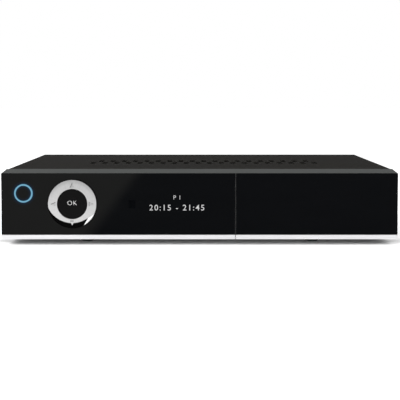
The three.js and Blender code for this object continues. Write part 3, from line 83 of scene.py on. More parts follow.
class Paint:
    """A material made from its shader's plain values, with a method that adds any other node."""

    def __init__(self, name, **plain):
        self.shade(bpy.data.materials.new(name), "Principled BSDF")
        self.set(**plain)

    @classmethod
    def on(cls, block, surface):
        """The same for a block that has its own nodes, such as the world."""
        paint = cls.__new__(cls)
        paint.shade(block, surface)
        return paint

    def shade(self, block, surface):
        """Turns on the block's nodes and works on the shader of this name."""
        block.use_nodes = True
        self.material = block
        self.tree = block.node_tree
        self.surface = self.tree.nodes[surface]

    def set(self, **sockets):
        """Sets the shader's sockets, whose names are written with underscores."""
        self.feed(self.surface, {name.replace("_", " "): value for name, value in sockets.items()})

    def feed(self, node, sockets):
        """Links each value to its socket, or writes it there if it is plain."""
        for name, value in sockets.items():
            if isinstance(value, Value):
                self.tree.links.new(value.socket, node.inputs[name])
            elif isinstance(value, tuple) and len(value) == 3 and node.inputs[name].type == "RGBA":
                node.inputs[name].default_value = (*value, 1)
            else:
                node.inputs[name].default_value = value

    def add(self, kind, settings=None, sockets=None, output=0):
        """One output of a new node, which gets its settings first and then feeds its sockets."""
        node = self.tree.nodes.new(kind)
        for name, value in (settings or {}).items():
            setattr(node, name, value)
        self.feed(node, sockets or {})
        return Value(self, node.outputs[output])

    def maths(self, operation, *values):
        return self.add("ShaderNodeMath", {"operation": operation}, dict(enumerate(values)))

    def vector(self, operation, first, second):
        sockets = {0: first, 1: second}
        return self.add("ShaderNodeVectorMath", {"operation": operation}, sockets)

    def place(self):
        return self.add("ShaderNodeTexCoord", output="Object")

    def axes(self, vector):
        parts = self.tree.nodes.new("ShaderNodeSeparateXYZ")
        self.feed(parts, {"Vector": vector})
        return [Value(self, output) for output in parts.outputs]

    def axes_from(self, centre):
        """How far a point lies across, behind and above this centre."""
        return self.axes(self.vector("SUBTRACT", self.place(), centre))

    def scaled(self, scale):
        """The place, stretched by these three factors."""
        return self.vector("MULTIPLY", self.place(), scale)

    def within(self, value, middle, reach):
        """1 where a value is no further than reach from middle, and 0 elsewhere."""
        return self.maths("ABSOLUTE", value - middle) < reach

    def away(self, across, up, radius):
        """How far a point is from a circle of this radius round zero."""
        return self.maths("ABSOLUTE", self.maths("POWER", across * across + up * up, 0.5) - radius)

    def noise(self, vector, scale, detail=2.0, roughness=0.5):
        sockets = {"Vector": vector, "Scale": scale, "Detail": detail, "Roughness": roughness}
        return self.add("ShaderNodeTexNoise", sockets=sockets)

    def patches(self, vector, scale, detail=2.0, roughness=0.5):
        """Soft patches between 0 and 1: the middle of a noise's range."""
        return self.noise(vector, scale, detail, roughness).clipped(0.3, 0.7)

    def blend(self, amount, first, second):
        """A colour between two others."""
        sockets = {0: amount, 6: first, 7: second}
        return self.add("ShaderNodeMix", {"data_type": "RGBA"}, sockets, output=2)

    def bump(self, height, depth, strength):
        sockets = {"Height": height, "Distance": depth, "Strength": strength}
        return self.add("ShaderNodeBump", sockets=sockets)


def srgb(*shades):
    """The linear colour of one grey or of three shades, written as screen values from 0 to 255."""
    shades = np.array(shades * 3 if len(shades) == 1 else shades) / 255
    linear = np.where(shades <= 0.04045, shades / 12.92, ((shades + 0.055) / 1.055) ** 2.4)
    return tuple(float(value) for value in linear)


# Finishes


def lid_paint():
    """Powder paint on the lid: a fine orange peel, and a slow drift of its shade and sheen."""
    paint = Paint("lid_paint", Specular_IOR_Level=0.001)
    place = paint.place()
    drift = paint.patches(place, 9)
    paint.set(
        Base_Color=paint.blend(drift, srgb(36, 35, 34), srgb(40, 39, 37)),
        Roughness=drift * 0.08 + 0.58,
        Normal=paint.bump(paint.noise(place, 1400, 3), 0.05 * MM, 0.6),
    )
    return paint.material


def moulded(name, dark, light, roughness, specular=0.3):
    """Moulded plastic: a fine spark-eroded grain and a faint uneven shade."""
    paint = Paint(name, Specular_IOR_Level=specular)
    place = paint.place()
    drift = paint.patches(place, 22, 3)
    paint.set(
        Base_Color=paint.blend(drift, dark, light),
        Roughness=drift * 0.07 + roughness,
        Normal=paint.bump(paint.noise(place, 900), 0.03 * MM, 0.5),
    )
    return paint.material


def gloss_black():
    """The polished panel, nearly a mirror.

    There are wipe marks in its gloss, and a painted highlight runs along its edges at the seam.
    The light ring gives a faint glow round it, and a darker window lies before the remote control
    receiver.
    """
    paint = Paint("gloss_black", Specular_IOR_Level=0.11, Emission_Strength=1.0)
    paint.set(Specular_Tint=(1.0, 0.97, 0.84))
    wipes = paint.noise(paint.scaled((6, 40, 30)), 3, 4).clipped(0.35, 0.75)
    across, _, up = paint.axes(paint.place())
    # Painted highlight: the panel's edges at the seam are painted light grey.
    edge_width = 0.06 * MM
    painted_seam_highlight = (across > seam_left - edge_width) * (across < seam_right + edge_width)
    window_half_width, window_half_height = 3 * MM, 3.6 * MM
    window = paint.within(across, eye_middle[0], window_half_width)
    window = window * paint.within(up, eye_middle[2], window_half_height)
    from_band = paint.away(across - light_middle[0], up - light_middle[2], light_radius)
    glow = 1 - from_band.clipped(0.6 * MM, 4 * MM)
    polished = paint.blend(wipes, srgb(9, 10, 12), srgb(10, 11, 13))
    paint.set(
        Base_Color=paint.blend(painted_seam_highlight, paint.blend(window, polished, srgb(5, 6, 8)), srgb(112)),
        Roughness=wipes * 0.03 + 0.04,
        Emission_Color=paint.blend(glow * glow, (0.0, 0.0, 0.0), (0.0, 0.01, 0.03)),
    )
    return paint.material


def brushed_strip():
    """Bright anodised strip, brushed along its length."""
    paint = Paint("brushed_strip", Metallic=0.55, Specular_IOR_Level=0.5)
    brush = paint.patches(paint.scaled((8, 900, 900)), 6, 3)
    paint.set(
        Base_Color=paint.blend(brush, srgb(226, 226, 228), srgb(238, 238, 240)),
        Roughness=brush * 0.1 + 0.28,
        Normal=paint.bump(brush, 0.01 * MM, 0.4),
    )
    return paint.material


def in_arrows(paint, across, up):
    """1 inside any of the navigation ring's four arrows, which point outwards, and 0 elsewhere.

    An arrow's width falls evenly from its foot to its tip.
    """
    foot, tip, narrowing = 14.2 * MM, 18.6 * MM, 0.43
    across, up = paint.maths("ABSOLUTE", across), paint.maths("ABSOLUTE", up)
    outward, aside = paint.maths("MAXIMUM", across, up), paint.maths("MINIMUM", across, up)
    return (aside < (tip - outward) * narrowing) * (outward > foot)


def turned_metal(centre):
    """The navigation ring: scratches fan out from its middle. Painted shade darkens its rim at the
    top, and painted light brightens its lower part.

    Its engraved arrows carry a painted shadow along their upper left walls. The rest of each is
    painted lit, which is the same arrow moved down and to the right. There is a small mark at the
    ring's foot, and a painted highlight lies across its lower right edge.
    """
    paint = Paint("turned_metal", Metallic=0.45, Specular_IOR_Level=0.5)
    across, behind, up = paint.axes_from(centre)
    angle = paint.maths("ARCTAN2", up, across)
    turn = {"X": paint.maths("COSINE", angle), "Y": paint.maths("SINE", angle)}
    fan = paint.patches(paint.add("ShaderNodeCombineXYZ", sockets=turn), 42, 3, 0.65)
    radius = paint.away(across, up, 0)
    # Painted shade: the rim's outer band is darker towards the ring's top.
    rim_inside, rim_outside, shoulder, crown = 17 * MM, 20 * MM, 2 * MM, 19 * MM
    painted_rim_shade = radius.clipped(rim_inside, rim_outside) * up.clipped(shoulder, crown)
    # Painted light: the face is painted brighter towards its foot and duller towards its top.
    brightest, dullest = -9 * MM, 16 * MM
    foot = 1 - up.clipped(brightest, dullest)
    # The face's shade: its grain, with the painted light at the foot and the painted rim shade.
    shade = (fan * 0.35 + foot * 0.45 + 0.15 - painted_rim_shade * 0.5).clipped(0.0, 1.0)

    # Painted shadow: the engraved arrows are dark along their upper left walls, and the lit part,
    # the arrow moved down and to the right, is painted lighter.
    recess, engraved_from, engraved_to, wall_width = 0.2 * MM, 13.4 * MM, 19 * MM, 0.47 * MM
    engraved = (behind > recess) * (radius > engraved_from) * (radius < engraved_to)
    lit_part = in_arrows(paint, across - wall_width, up + wall_width)
    mark_across, mark_half_width = -0.3 * MM, 1.5 * MM
    mark_up, mark_half_height = -14.6 * MM, 0.9 * MM
    foot_mark = paint.within(across, mark_across, mark_half_width)
    foot_mark = foot_mark * paint.within(up, mark_up, mark_half_height)
    marks = paint.maths("MAXIMUM", engraved * (0.95 - lit_part * 0.74), foot_mark * 0.5)

    # Painted highlight: a bright band across the ring's lower right edge.
    highlight_across, highlight_down, highlight_start = 0.574, 0.819, 17.8 * MM
    painted_highlight = across * highlight_across - up * highlight_down > highlight_start
    face = paint.blend(shade, srgb(164), srgb(208))
    paint.set(
        Base_Color=paint.blend(painted_highlight, paint.blend(marks, face, srgb(96)), srgb(252)),
        Roughness=fan * 0.12 + 0.3,
        Normal=paint.bump(fan, 0.02 * MM, 0.4),
    )
    return paint.material


def lit_ring():
    """The light guide: a clear ring lit from behind, brightest along the middle of its band."""
    paint = Paint("lit_ring", Roughness=0.25, Specular_IOR_Level=0.2, Emission_Strength=1.0)
    place = paint.place()
    across, _, up = paint.axes(place)
    from_band = paint.away(across - light_middle[0], up - light_middle[2], light_radius)
    edge = from_band.clipped(0.35 * MM, 0.75 * MM)
    lit = paint.blend(paint.patches(place, 160), srgb(112, 168, 194), srgb(122, 178, 204))
    paint.set(
        Base_Color=srgb(16, 30, 40),
        Emission_Color=paint.blend(edge, lit, srgb(40, 92, 116)),
    )
    return paint.material


def foot_rubber():
    """Matt black rubber, with dust on it in patches."""
    paint = Paint("foot_rubber", Specular_IOR_Level=0.03)
    place = paint.place()
    dust = paint.noise(place, 60, 4).clipped(0.45, 0.8)
    paint.set(
        Base_Color=paint.blend(dust, srgb(4), srgb(16)),
        Roughness=dust * 0.1 + 0.8,
        Normal=paint.bump(paint.noise(place, 1200), 0.05 * MM, 0.7),
    )
    return paint.material


def plated_sheet(name, dull, bright, roughness):
    """Zinc plated sheet, rolled along its width: its crystals are flat patches of unlike grey."""
    paint = Paint(name, Metallic=0.85, Specular_IOR_Level=0.5)
    sockets = {"Vector": paint.place(), "Scale": 230}
    crystals = paint.add("ShaderNodeTexVoronoi", sockets=sockets, output="Color")
    crystal, _, _ = paint.axes(crystals)
    rolled = paint.patches(paint.scaled((12, 700, 400)), 5)
    paint.set(
        Base_Color=paint.blend(crystal * 0.36 + rolled * 0.4 + 0.12, dull, bright),
        Roughness=crystal * 0.07 + roughness,
        Normal=paint.bump(rolled, 0.01 * MM, 0.4),
    )
    return paint.material


def handling_marks(paint):
    return paint.noise(paint.place(), 240, 4).clipped(0.35, 0.75)


def plated(name, bright, dull):
    """Plated fittings, with duller handling marks in the gloss."""
    paint = Paint(name, Metallic=1.0, Specular_IOR_Level=0.5)
    marks = handling_marks(paint)
    paint.set(
        Base_Color=paint.blend(marks, bright, dull),
        Roughness=marks * 0.15 + 0.2,
        Normal=paint.bump(marks, 0.01 * MM, 0.3),
    )
    return paint.material


def nickel(name, shade):
    """Nickel plate, or a darker metal, whose duller parts are a little warmer."""
    return plated(name, srgb(shade), srgb(shade - 16, shade - 18, shade - 22))


def lined(name, low, high, colour):
    """A plated socket: whatever lies between these two corners is plastic, and the rest nickel."""
    paint = Paint(name, Specular_IOR_Level=0.5)
    plastic = 1
    for value, start, end in zip(paint.axes(paint.place()), low, high):
        plastic = paint.within(value, (start + end) / 2, (end - start) / 2) * plastic
    marks = handling_marks(paint)
    shell = paint.blend(marks, srgb(205), srgb(188, 187, 184))
    paint.set(
        Base_Color=paint.blend(plastic, shell, colour),
        Metallic=1 - plastic,
        Roughness=marks * 0.12 + 0.22 + plastic * 0.15,
        Normal=paint.bump(marks, 0.01 * MM, 0.3),
    )
    return paint.material


def pinned_inlet(centre, offset, radius):
    """The mains inlet: moulded black, with nickel pins at this offset each side of its middle."""
    paint = Paint("pinned_inlet", Specular_IOR_Level=0.3)
    across, _, up = paint.axes_from(centre)
    pin = paint.away(paint.maths("ABSOLUTE", across) - offset, up, 0) < radius
    paint.set(
        Base_Color=paint.blend(pin, srgb(24), srgb(205)),
        Metallic=pin,
        Roughness=0.42 - pin * 0.2,
        Normal=paint.bump(paint.noise(paint.place(), 900), 0.03 * MM, 0.5),
    )
    return paint.material


def circuit_board():
    """Green lacquered board: its tracks are paler lines where the cells of a pattern meet."""
    paint = Paint("circuit_board", Specular_IOR_Level=0.4)
    edges = {"feature": "DISTANCE_TO_EDGE", "distance": "EUCLIDEAN"}
    sockets = {"Vector": paint.place(), "Scale": 120}
    from_edge = paint.add("ShaderNodeTexVoronoi", edges, sockets, output="Distance")
    tracks = 1 - from_edge.clipped(0.02, 0.06)
    paint.set(
        Base_Color=paint.blend(tracks, srgb(22, 62, 36), srgb(44, 96, 58)),
        Roughness=0.38 - tracks * 0.05,
        Normal=paint.bump(tracks, 0.03 * MM, 0.6),
    )
    return paint.material


def banded(name, colour, centre, plastic_radius):
    """A phono socket: coloured plastic inside a nickel sleeve that stands out of the rear wall."""
    paint = Paint(name, Specular_IOR_Level=0.4)
    across, outwards, up = paint.axes_from(centre)
    sleeve = (paint.away(across, up, 0) > plastic_radius) * (outwards > 0)
    paint.set(
        Base_Color=paint.blend(sleeve, colour, srgb(196, 196, 194)),
        Metallic=sleeve,
        Roughness=0.4 - sleeve * 0.15,
        Normal=paint.bump(paint.noise(paint.place(), 800), 0.02 * MM, 0.4),
    )
    return paint.material


def can_sleeve(centre, top):
    """The capacitor: a dark shrink sleeve with a pale stripe, and a bare aluminium top."""
    paint = Paint("can_sleeve", Specular_IOR_Level=0.4)
    across, _, up = paint.axes_from(centre)
    bare = up > top
    stripe = (across > 6 * MM) * (1 - bare)
    sleeve = paint.blend(stripe, srgb(24, 28, 44), srgb(170, 172, 180))
    paint.set(
        Base_Color=paint.blend(bare, sleeve, srgb(190)),
        Metallic=bare,
        Roughness=0.4 - bare * 0.1,
    )
    return paint.material


def taped_winding(centre, winding_half):
    """The transformer: dark ferrite at its sides, and layers of yellow tape round the winding."""
    paint = Paint("taped_winding", Specular_IOR_Level=0.3)
    across, _, _ = paint.axes_from(centre)
    ferrite = paint.maths("ABSOLUTE", across) > winding_half
    layers = paint.noise(paint.scaled((20, 20, 900)), 4).clipped(0.35, 0.65)
    tape = paint.blend(layers, srgb(190, 152, 46), srgb(214, 178, 70))
    paint.set(
        Base_Color=paint.blend(ferrite, tape, srgb(44, 44, 46)),
        Roughness=ferrite * 0.3 + 0.35,
    )
    return paint.material


def ribbon_wires():
    """The flat cable: its wires lie side by side across its width, and one edge wire is red."""
    wire_pitch, red_edge = 1.27 * MM, 1.3 * MM
    paint = Paint("ribbon_wires", Specular_IOR_Level=0.3)
    across, _, _ = paint.axes(paint.place())
    wires = paint.maths("SINE", across * (2 * math.pi / wire_pitch)) * 0.5 + 0.5
    grey = paint.blend(wires, srgb(168, 166, 158), srgb(206, 204, 196))
    paint.set(
        Base_Color=paint.blend(across < red_edge, grey, srgb(150, 40, 36)),
        Roughness=0.45 + wires * 0.1,
        Normal=paint.bump(wires, 0.2 * MM, 0.6),
    )
    return paint.material


def middle(node):
    """The middle of a node's box, in metres."""
    low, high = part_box(node)
    return tuple((a + b) / 2 for a, b in zip(low, high))


def finish(material, *names):
    """Gives the nodes of these names one material each."""
    for name in names:
        slots = nodes[name].data.materials
        slots.clear()
        slots.append(material)


def numbered(stem, count):
    """The names of alike nodes, which are numbered from 1."""
    return [f"{stem}_{i + 1}" for i in range(count)]


seam_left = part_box("front_panel")[1][0]
seam_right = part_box("flap_panel")[0][0]
eye_middle = middle("remote_eye")
light_middle = middle("power_light_ring")
light_radius = 7.25 * MM  # to the middle of the ring's lit band
ring_middle = middle("ring_carrier")
ring_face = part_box("navigation_ring")[0][1]
black = moulded("black_plastic", srgb(20), srgb(26), 0.4)
front_plastic = moulded("fascia_plastic", srgb(69, 71, 70), srgb(75, 77, 76), 0.5, specular=0.02)
ring_well = moulded("ring_well", srgb(3), srgb(5), 0.5, specular=0.02)
ok_plastic = moulded("ok_plastic", srgb(15), srgb(18), 0.45, specular=0.03)
tray_plate = plated_sheet("tray_plate", srgb(128, 130, 132), srgb(160, 162, 164), 0.34)
cage_plate = plated_sheet("cage_plate", srgb(150, 152, 154), srgb(180, 181, 182), 0.3)

finish(lid_paint(), "lid")
finish(front_plastic, "fascia")
finish(gloss_black(), "front_panel", "flap_panel", "power_button", "display_module", "remote_eye")
finish(brushed_strip(), "trim_strip", "flap_trim")
finish(turned_metal((ring_middle[0], ring_face, ring_middle[2])), "navigation_ring")
finish(ring_well, "ring_carrier", "ring_gimbal")
finish(ok_plastic, "ok_button")
finish(lit_ring(), "power_light_ring")
finish(foot_rubber(), *numbered("foot", 4))
finish(black, "flap_carrier", "bay_bezel", "eject_button_lower", "eject_button_upper")
finish(black, "card_reader", "optical_socket", "mains_switch_housing", "mains_switch_rocker")
finish(tray_plate, "base_tray")
finish(cage_plate, "module_cage", "tuner_module")
finish(circuit_board(), "main_board", "power_supply_board", "front_board")
finish(nickel("nickel", 205), *numbered("aerial_socket", 2))
finish(nickel("cooler_metal", 150), "chip_cooler")
finish(nickel("black_screws", 52), *numbered("side_screw", 4), *numbered("rear_screw", 3))
switches = [f"switch_{name}" for name in ("up", "down", "left", "right", "ok", "power")]
finish(nickel("switch_metal", 180), *switches)
finish(ribbon_wires(), "ribbon_cable")

pin_offset, pin_reach = 4.3 * MM, 1.22 * MM
finish(pinned_inlet(middle("mains_inlet"), pin_offset, pin_reach), "mains_inlet")
can_top = 13.6 * MM
finish(can_sleeve(middle("filter_capacitor"), can_top), "filter_capacitor")
winding_half = 10.6 * MM
finish(taped_winding(middle("transformer"), winding_half), "transformer")

# How far each shell stands round its plastic: at the sides, the foot and the top.
shells = {
    "usb_socket_front": (1.8 * MM, 3.4 * MM, 1.6 * MM),
    "usb_socket_rear": (1.8 * MM, 3.4 * MM, 1.6 * MM),
    "network_socket": (2.0 * MM, 1.9 * MM, 1.0 * MM),
    "video_socket": (2.9 * MM, 2.9 * MM, 1.7 * MM),
}
shell_ends = 0.4 * MM  # and at the front and the rear
for name, (sides, foot, top) in shells.items():
    low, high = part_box(name)
    lining_low = (low[0] + sides, low[1] + shell_ends, low[2] + foot)
    lining_high = (high[0] - sides, high[1] - shell_ends, high[2] - top)
    finish(lined(f"{name}_lined", lining_low, lining_high, srgb(20)), name)

# The phono sockets, by the rear wall's outer face and their axis over the floor.
sleeves_from, phono_axis, plastic_radius = 110.5 * MM, 24 * MM, 3.4 * MM
phono_colours = {
    "yellow": srgb(222, 176, 40),
    "white": srgb(226, 224, 216),
    "red": srgb(176, 36, 32),
}
for name, colour in phono_colours.items():
    centre = (middle(f"phono_socket_{name}")[0], sleeves_from, phono_axis)
    finish(banded(f"phono_{name}", colour, centre, plastic_radius), f"phono_socket_{name}")


# Fine parts


def placed(name, mesh, material):
    """A new object in the scene for this mesh, with one material."""
    mesh.materials.clear()
    mesh.materials.append(material)
    made = bpy.data.objects.new(name, mesh)
    bpy.context.scene.collection.objects.link(made)
    return made


def swept(name, tubes, material, body, smooth=False):
    """One piece from closed tubes, each an array of points: its rows follow the tube's path.

    A row is a closed outline. Each point is joined to the next one of its row, and to those of the
    next row, by a four-sided face, the last point to the first. The first and last rows are caps.
    """
    points, faces, first = [], [], 0
    for tube in tubes:
        index = first + np.arange(tube.shape[0] * tube.shape[1]).reshape(tube.shape[:2])
        beside = np.roll(index, -1, axis=1)
        walls = np.stack([index[:-1], index[1:], beside[1:], beside[:-1]], axis=-1)
        faces += [*walls.reshape(-1, 4).tolist(), index[0].tolist(), index[-1, ::-1].tolist()]
        points.append(tube.reshape(-1, 3))
        first += len(points[-1])
    mesh = bpy.data.meshes.new(name)
    mesh.from_pydata(np.concatenate(points).tolist(), [], faces)
    if smooth:
        mesh.shade_smooth()
    piece = placed(name, mesh, material)
    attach(piece, body)


def screw_thread(axis, start, end, radius, pitch, ridge):
    """A thread round an axis along y: an outline carried along a helix of this pitch.

    The outline's outer side runs nearly one pitch along the axis. Its height above the radius is
    the ridge times the square of a sine. Its inner side lies one ridge below the radius.
    """
    steps_round, steps_over, gap_share = 32, 9, 0.02
    turns = (end - start) / pitch
    turn = np.linspace(0, turns - 1, int(turns * steps_round))[:, None]
    along = np.linspace(1 - gap_share, gap_share, steps_over)
    height = np.append(radius + ridge * np.sin(np.pi * along) ** 2, [radius - ridge] * 2)
    along = np.append(along, [gap_share, 1 - gap_share])
    across = axis[0] + height * np.cos(turn * 2 * np.pi)
    up = axis[1] + height * np.sin(turn * 2 * np.pi)
    return np.stack([across, start + (turn + along) * pitch, up], axis=-1)


def spring_contact(reach, up, across, width, thickness):
    """A flat contact at one place across a socket, along a path given by its points' y and z.

    Its outline is a rectangle of this width and thickness, carried along the path to the rear.
    """
    order = np.argsort(reach)
    corners = np.array([[-0.5, -0.5], [0.5, -0.5], [0.5, 0.5], [-0.5, 0.5]])
    x = np.broadcast_to(across + corners[:, 0] * width, (len(order), len(corners)))
    y = np.broadcast_to(reach[order, None], x.shape)
    return np.stack([x, y, up[order, None] + corners[:, 1] * thickness], axis=-1)


def row_about(centre, count, pitch):
    """Places across, evenly about a centre."""
    return [centre + (i - (count - 1) / 2) * pitch for i in range(count)]


thread_metal = nickel("thread_nickel", 200)
thread_start, thread_end = 8.6 * MM, 0.4 * MM  # from the barrel's end
for name in numbered("aerial_socket", 2):
    across, _, up = middle(name)
    barrel_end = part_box(name)[1][1]
    thread = screw_thread(
        (across, up),
        barrel_end - thread_start,
        barrel_end - thread_end,
        radius=4.62 * MM,
        pitch=0.8 * MM,
        ridge=0.4 * MM,
    )
    swept(f"{name}_thread", [thread], thread_metal, "chassis", smooth=True)

gold = plated("contact_gold", srgb(214, 170, 84), srgb(196, 150, 66))
run = np.linspace(0, 1, 12)  # along each contact, from its tip

# The network contacts rise from the mouth's foot towards its back, steeply at first.
low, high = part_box("network_socket")
tip, length, foot, rise = 1.5 * MM, 9 * MM, 2.15 * MM, 3.6 * MM
reach, level = high[1] - tip - run * length, low[2] + foot + rise * run**0.7
places = row_about(middle("network_socket")[0], 8, 1.02 * MM)
contacts = [spring_contact(reach, level, x, width=0.4 * MM, thickness=0.2 * MM) for x in places]
swept("network_contacts", contacts, gold, "chassis")

# Four contacts lie under each USB tongue. Each has a crest near its tip, in the shape of a bell.
tip, length, drop, crest = 2.6 * MM, 7 * MM, 0.06 * MM, 0.25 * MM
crest_at, crest_width = 0.2, 0.12  # as shares of the contact's length
for name in ("usb_socket_front", "usb_socket_rear"):
    low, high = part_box(name)
    centre, _, tongue = middle(name)
    mouth, inward = (low[1], 1) if name.endswith("front") else (high[1], -1)
    reach = mouth + inward * (tip + run * length)
    level = tongue - drop - crest * np.exp(-(((run - crest_at) / crest_width) ** 2))
    places = [centre + x * MM for x in (-3.5, -1, 1, 3.5)]
    contacts = [spring_contact(reach, level, x, width=1 * MM, thickness=0.1 * MM) for x in places]
    swept(f"{name}_contacts", contacts, gold, "chassis")

# Narrow contacts lie on both faces of the video socket's tongue.
low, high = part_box("video_socket")
centre, _, tongue_foot = middle("video_socket")
tip, length, half_contact, tongue_height = 2.6 * MM, 6 * MM, 0.03 * MM, 1.2 * MM
reach = high[1] - tip - run * length
below, above = tongue_foot - half_contact, tongue_foot + tongue_height + half_contact
contacts = [
    spring_contact(reach, level, x, width=0.45 * MM, thickness=2 * half_contact)
    for level in (np.full(run.shape, below), np.full(run.shape, above))
    for x in row_about(centre, 9, 0.95 * MM)
]
swept("video_contacts", contacts, gold, "chassis")


# Lettering


def lettering(name, words, height, centre, plane_y, material, body, spacing, thinned):
    """Flat letters that face the front, on the plane y = plane_y.

    Their middle is at centre, (across, up), and each side of a stroke is thinned by this much.
    """
    curve = bpy.data.curves.new(name, "FONT")
    curve.body = words
    curve.align_x = "CENTER"
    curve.align_y = "CENTER"
    curve.size = height
    curve.space_character = spacing
    curve.offset = -thinned
    curve.resolution_u = 3
    typed = bpy.data.objects.new(name, curve)
    bpy.context.scene.collection.objects.link(typed)
    bpy.context.view_layer.update()
    mesh = bpy.data.meshes.new_from_object(
        typed.evaluated_get(bpy.context.evaluated_depsgraph_get())
    )
    bpy.data.objects.remove(typed)

    flat = np.zeros(len(mesh.vertices) * 3)
    mesh.vertices.foreach_get("co", flat)
    flat = flat.reshape(-1, 3)[:, :2]
    across, up = (flat - (flat.min(0) + flat.max(0)) / 2 + centre).T
    upright = np.stack([across, np.full(len(flat), plane_y), up], axis=1)
    mesh.vertices.foreach_set("co", upright.ravel())
    piece = placed(name, mesh, material)
    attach(piece, body)


def uneven(paint, colour, scale):
    """A colour that drifts to one a tenth darker, in patches."""
    darker = tuple(value * 0.9 for value in colour)
    return paint.blend(paint.patches(paint.place(), scale), colour, darker)


def printed(name, colour):
    """Screen print: an opaque ink of slightly uneven shade."""
    paint = Paint(name, Roughness=0.5, Specular_IOR_Level=0.2)
    paint.set(Base_Color=uneven(paint, colour, 1500))
    return paint.material


def glowing(name, colour):
    """Display segments, seen through the panel."""
    paint = Paint(name, Roughness=0.3, Specular_IOR_Level=0.1, Emission_Strength=1.0)
    paint.set(Base_Color=(0.0, 0.0, 0.0), Emission_Color=uneven(paint, colour, 900))
    return paint.material


proud = 0.03 * MM  # how far letters stand before the face that carries them
ok_middle = middle("ok_button")
ok_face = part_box("ok_button")[0][1]
lettering(
    "ok_letters",
    "OK",
    height=5.7 * MM,
    centre=(ok_middle[0], ok_middle[2] + 0.95 * MM),
    plane_y=ok_face - proud,
    material=printed("white_ink", srgb(250)),
    body="ok",
    spacing=1.12,
    thinned=0.14 * MM,
)

panel_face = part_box("front_panel")[0][1]
display = middle("display_module")
glow = glowing("display_segments", srgb(214))
display_lines = {  # words, height, place over the display's middle, spacing and thinning
    "display_upper": ("P 1", 5.1 * MM, 5.1 * MM, 1.1, 0.02 * MM),
    "display_lower": ("20:15 - 21:45", 7.0 * MM, -3.6 * MM, 1.25, -0.03 * MM),
}
for name, (words, height, over, spacing, thinned) in display_lines.items():
    centre = (display[0], display[2] + over)
    lettering(name, words, height, centre, panel_face - proud, glow, "chassis", spacing, thinned)


# Floor, light and camera


def background_rays(paint):
    """Whether the camera sees this point itself, and whether mirrors or glass show it."""
    rays = paint.tree.nodes.new("ShaderNodeLightPath")
    camera, glossy, through, scattered = (
        Value(paint, rays.outputs[name])
        for name in ("Is Camera Ray", "Is Glossy Ray", "Is Transmission Ray", "Diffuse Depth")
    )
    return camera, paint.maths("MAXIMUM", glossy, through) * (scattered < 0.5)


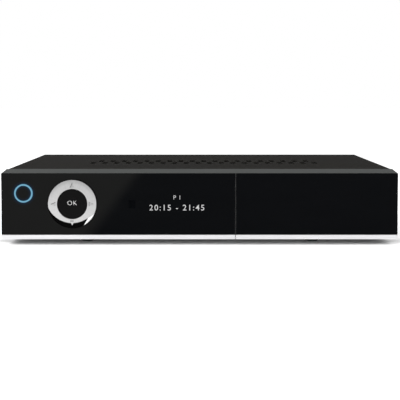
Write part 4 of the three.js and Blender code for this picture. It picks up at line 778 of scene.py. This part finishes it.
def floor_material():
    """A floor that the camera sees as bright white, and that is paler grey to everything else.

    Far from the object it is brighter, so that it stays white up to the horizon. Under the front's
    two ends a painted shadow darkens it, in an oval half as deep as wide, so that the shadow
    reaches them.

    The polished panel mirrors the floor before it. There a painted reflection makes the floor dark
    to mirrors, from the front's left third to the right, and its left edge gives the slanting
    border in the gloss.
    """
    paint = Paint("floor_white", Roughness=1.0, Specular_IOR_Level=0.0)
    camera, mirrored = background_rays(paint)
    across, along, _ = paint.axes(paint.place())

    near_white, far_rise, rise_from, rise_to = 1.9, 0.35, 0.9, 2.2
    seen = paint.away(across, along, 0).clipped(rise_from, rise_to) * far_rise + near_white
    # Painted shadow: under the front's two ends the floor is darkened in an oval.
    oval_core, oval_edge, oval_behind = 4 * MM, 40 * MM, 30 * MM
    inwards = (along - front_y - oval_behind) * 2
    for end, dimming in ((-168 * MM, 0.5), (161 * MM, 0.4)):
        painted_end_shadow = paint.away(across - end, inwards, 0).clipped(oval_edge, oval_core)
        seen = (1 - painted_end_shadow * dimming) * seen
    unseen = 0.8
    colour = (seen - unseen) * camera + unseen
    diffuse = paint.add("ShaderNodeBsdfDiffuse", sockets={"Color": colour})

    # Painted reflection: mirrors see the floor darker before the panel, from the front's left
    # third to the right.
    reflection_left, reflection_blur, reflection_before, reflection_dark = -102 * MM, 8 * MM, 60 * MM, 0.9
    painted_dark_reflection = across.clipped(reflection_left - reflection_blur, reflection_left + reflection_blur)
    painted_dark_reflection = painted_dark_reflection * (along < front_y - reflection_before) * reflection_dark
    sockets = {"Color": (1.0, 1.0, 1.0), "Strength": 1 - painted_dark_reflection}
    mirror_image = paint.add("ShaderNodeEmission", sockets=sockets)
    surface = paint.add("ShaderNodeMixShader", sockets={0: mirrored, 1: diffuse, 2: mirror_image})
    paint.tree.links.new(surface.socket, paint.tree.nodes["Material Output"].inputs["Surface"])
    return paint.material


def world_light(ambient):
    """A white world to the camera and in reflections, and a plain dimmer one as light."""
    world = bpy.data.worlds.new("studio")
    paint = Paint.on(world, "Background")
    camera, mirrored = background_rays(paint)
    seen = paint.maths("MAXIMUM", camera, mirrored)
    paint.set(Color=(1.0, 1.0, 1.0), Strength=seen * (1 - ambient) + ambient)
    bpy.context.scene.world = world


def softbox(name, place, target, size, power):
    """A rectangular lamp that faces target, and that neither the camera nor a mirror sees."""
    light = bpy.data.lights.new(name, "AREA")
    light.shape = "RECTANGLE"
    light.size, light.size_y = size
    light.energy = power
    lamp = bpy.data.objects.new(name, light)
    away = np.array(place) - np.array(target)
    slope = math.atan2(np.hypot(away[0], away[1]), away[2])
    lamp.location = place
    lamp.rotation_euler = (slope, 0, math.atan2(away[0], -away[1]))
    lamp.visible_glossy = False
    lamp.visible_camera = False
    bpy.context.scene.collection.objects.link(lamp)


front_y = panel_face
floor_half = 8.0
corners = [(-1, -1, 0), (1, -1, 0), (1, 1, 0), (-1, 1, 0)]
mesh = bpy.data.meshes.new("floor")
mesh.from_pydata([tuple(c * floor_half for c in corner) for corner in corners], [], [(0, 1, 2, 3)])
floor = placed("floor", mesh, floor_material())

world_light(0.45)
lit_point = (0, 0, 30 * MM)
softbox("key", (0.1, -1.5, 0.6), lit_point, size=(2.2, 1.0), power=26)
softbox("side", (-0.75, 0.25, 0.7), lit_point, size=(0.7, 0.7), power=4.4)

camera_before, camera_height, camera_tilt = 894.37 * MM, 130.45 * MM, 3.1877
camera_data = bpy.data.cameras.new("camera")
camera_data.sensor_width = 36
camera_data.lens = 94.3
camera_data.shift_x = 0.0010875
camera_data.shift_y = -0.12
camera = bpy.data.objects.new("camera", camera_data)
camera.location = (0, front_y - camera_before, camera_height)
camera.rotation_euler = (math.radians(90 - camera_tilt), 0, 0)
bpy.context.scene.collection.objects.link(camera)
bpy.context.scene.camera = camera
bpy.context.scene.view_settings.view_transform = "Standard"
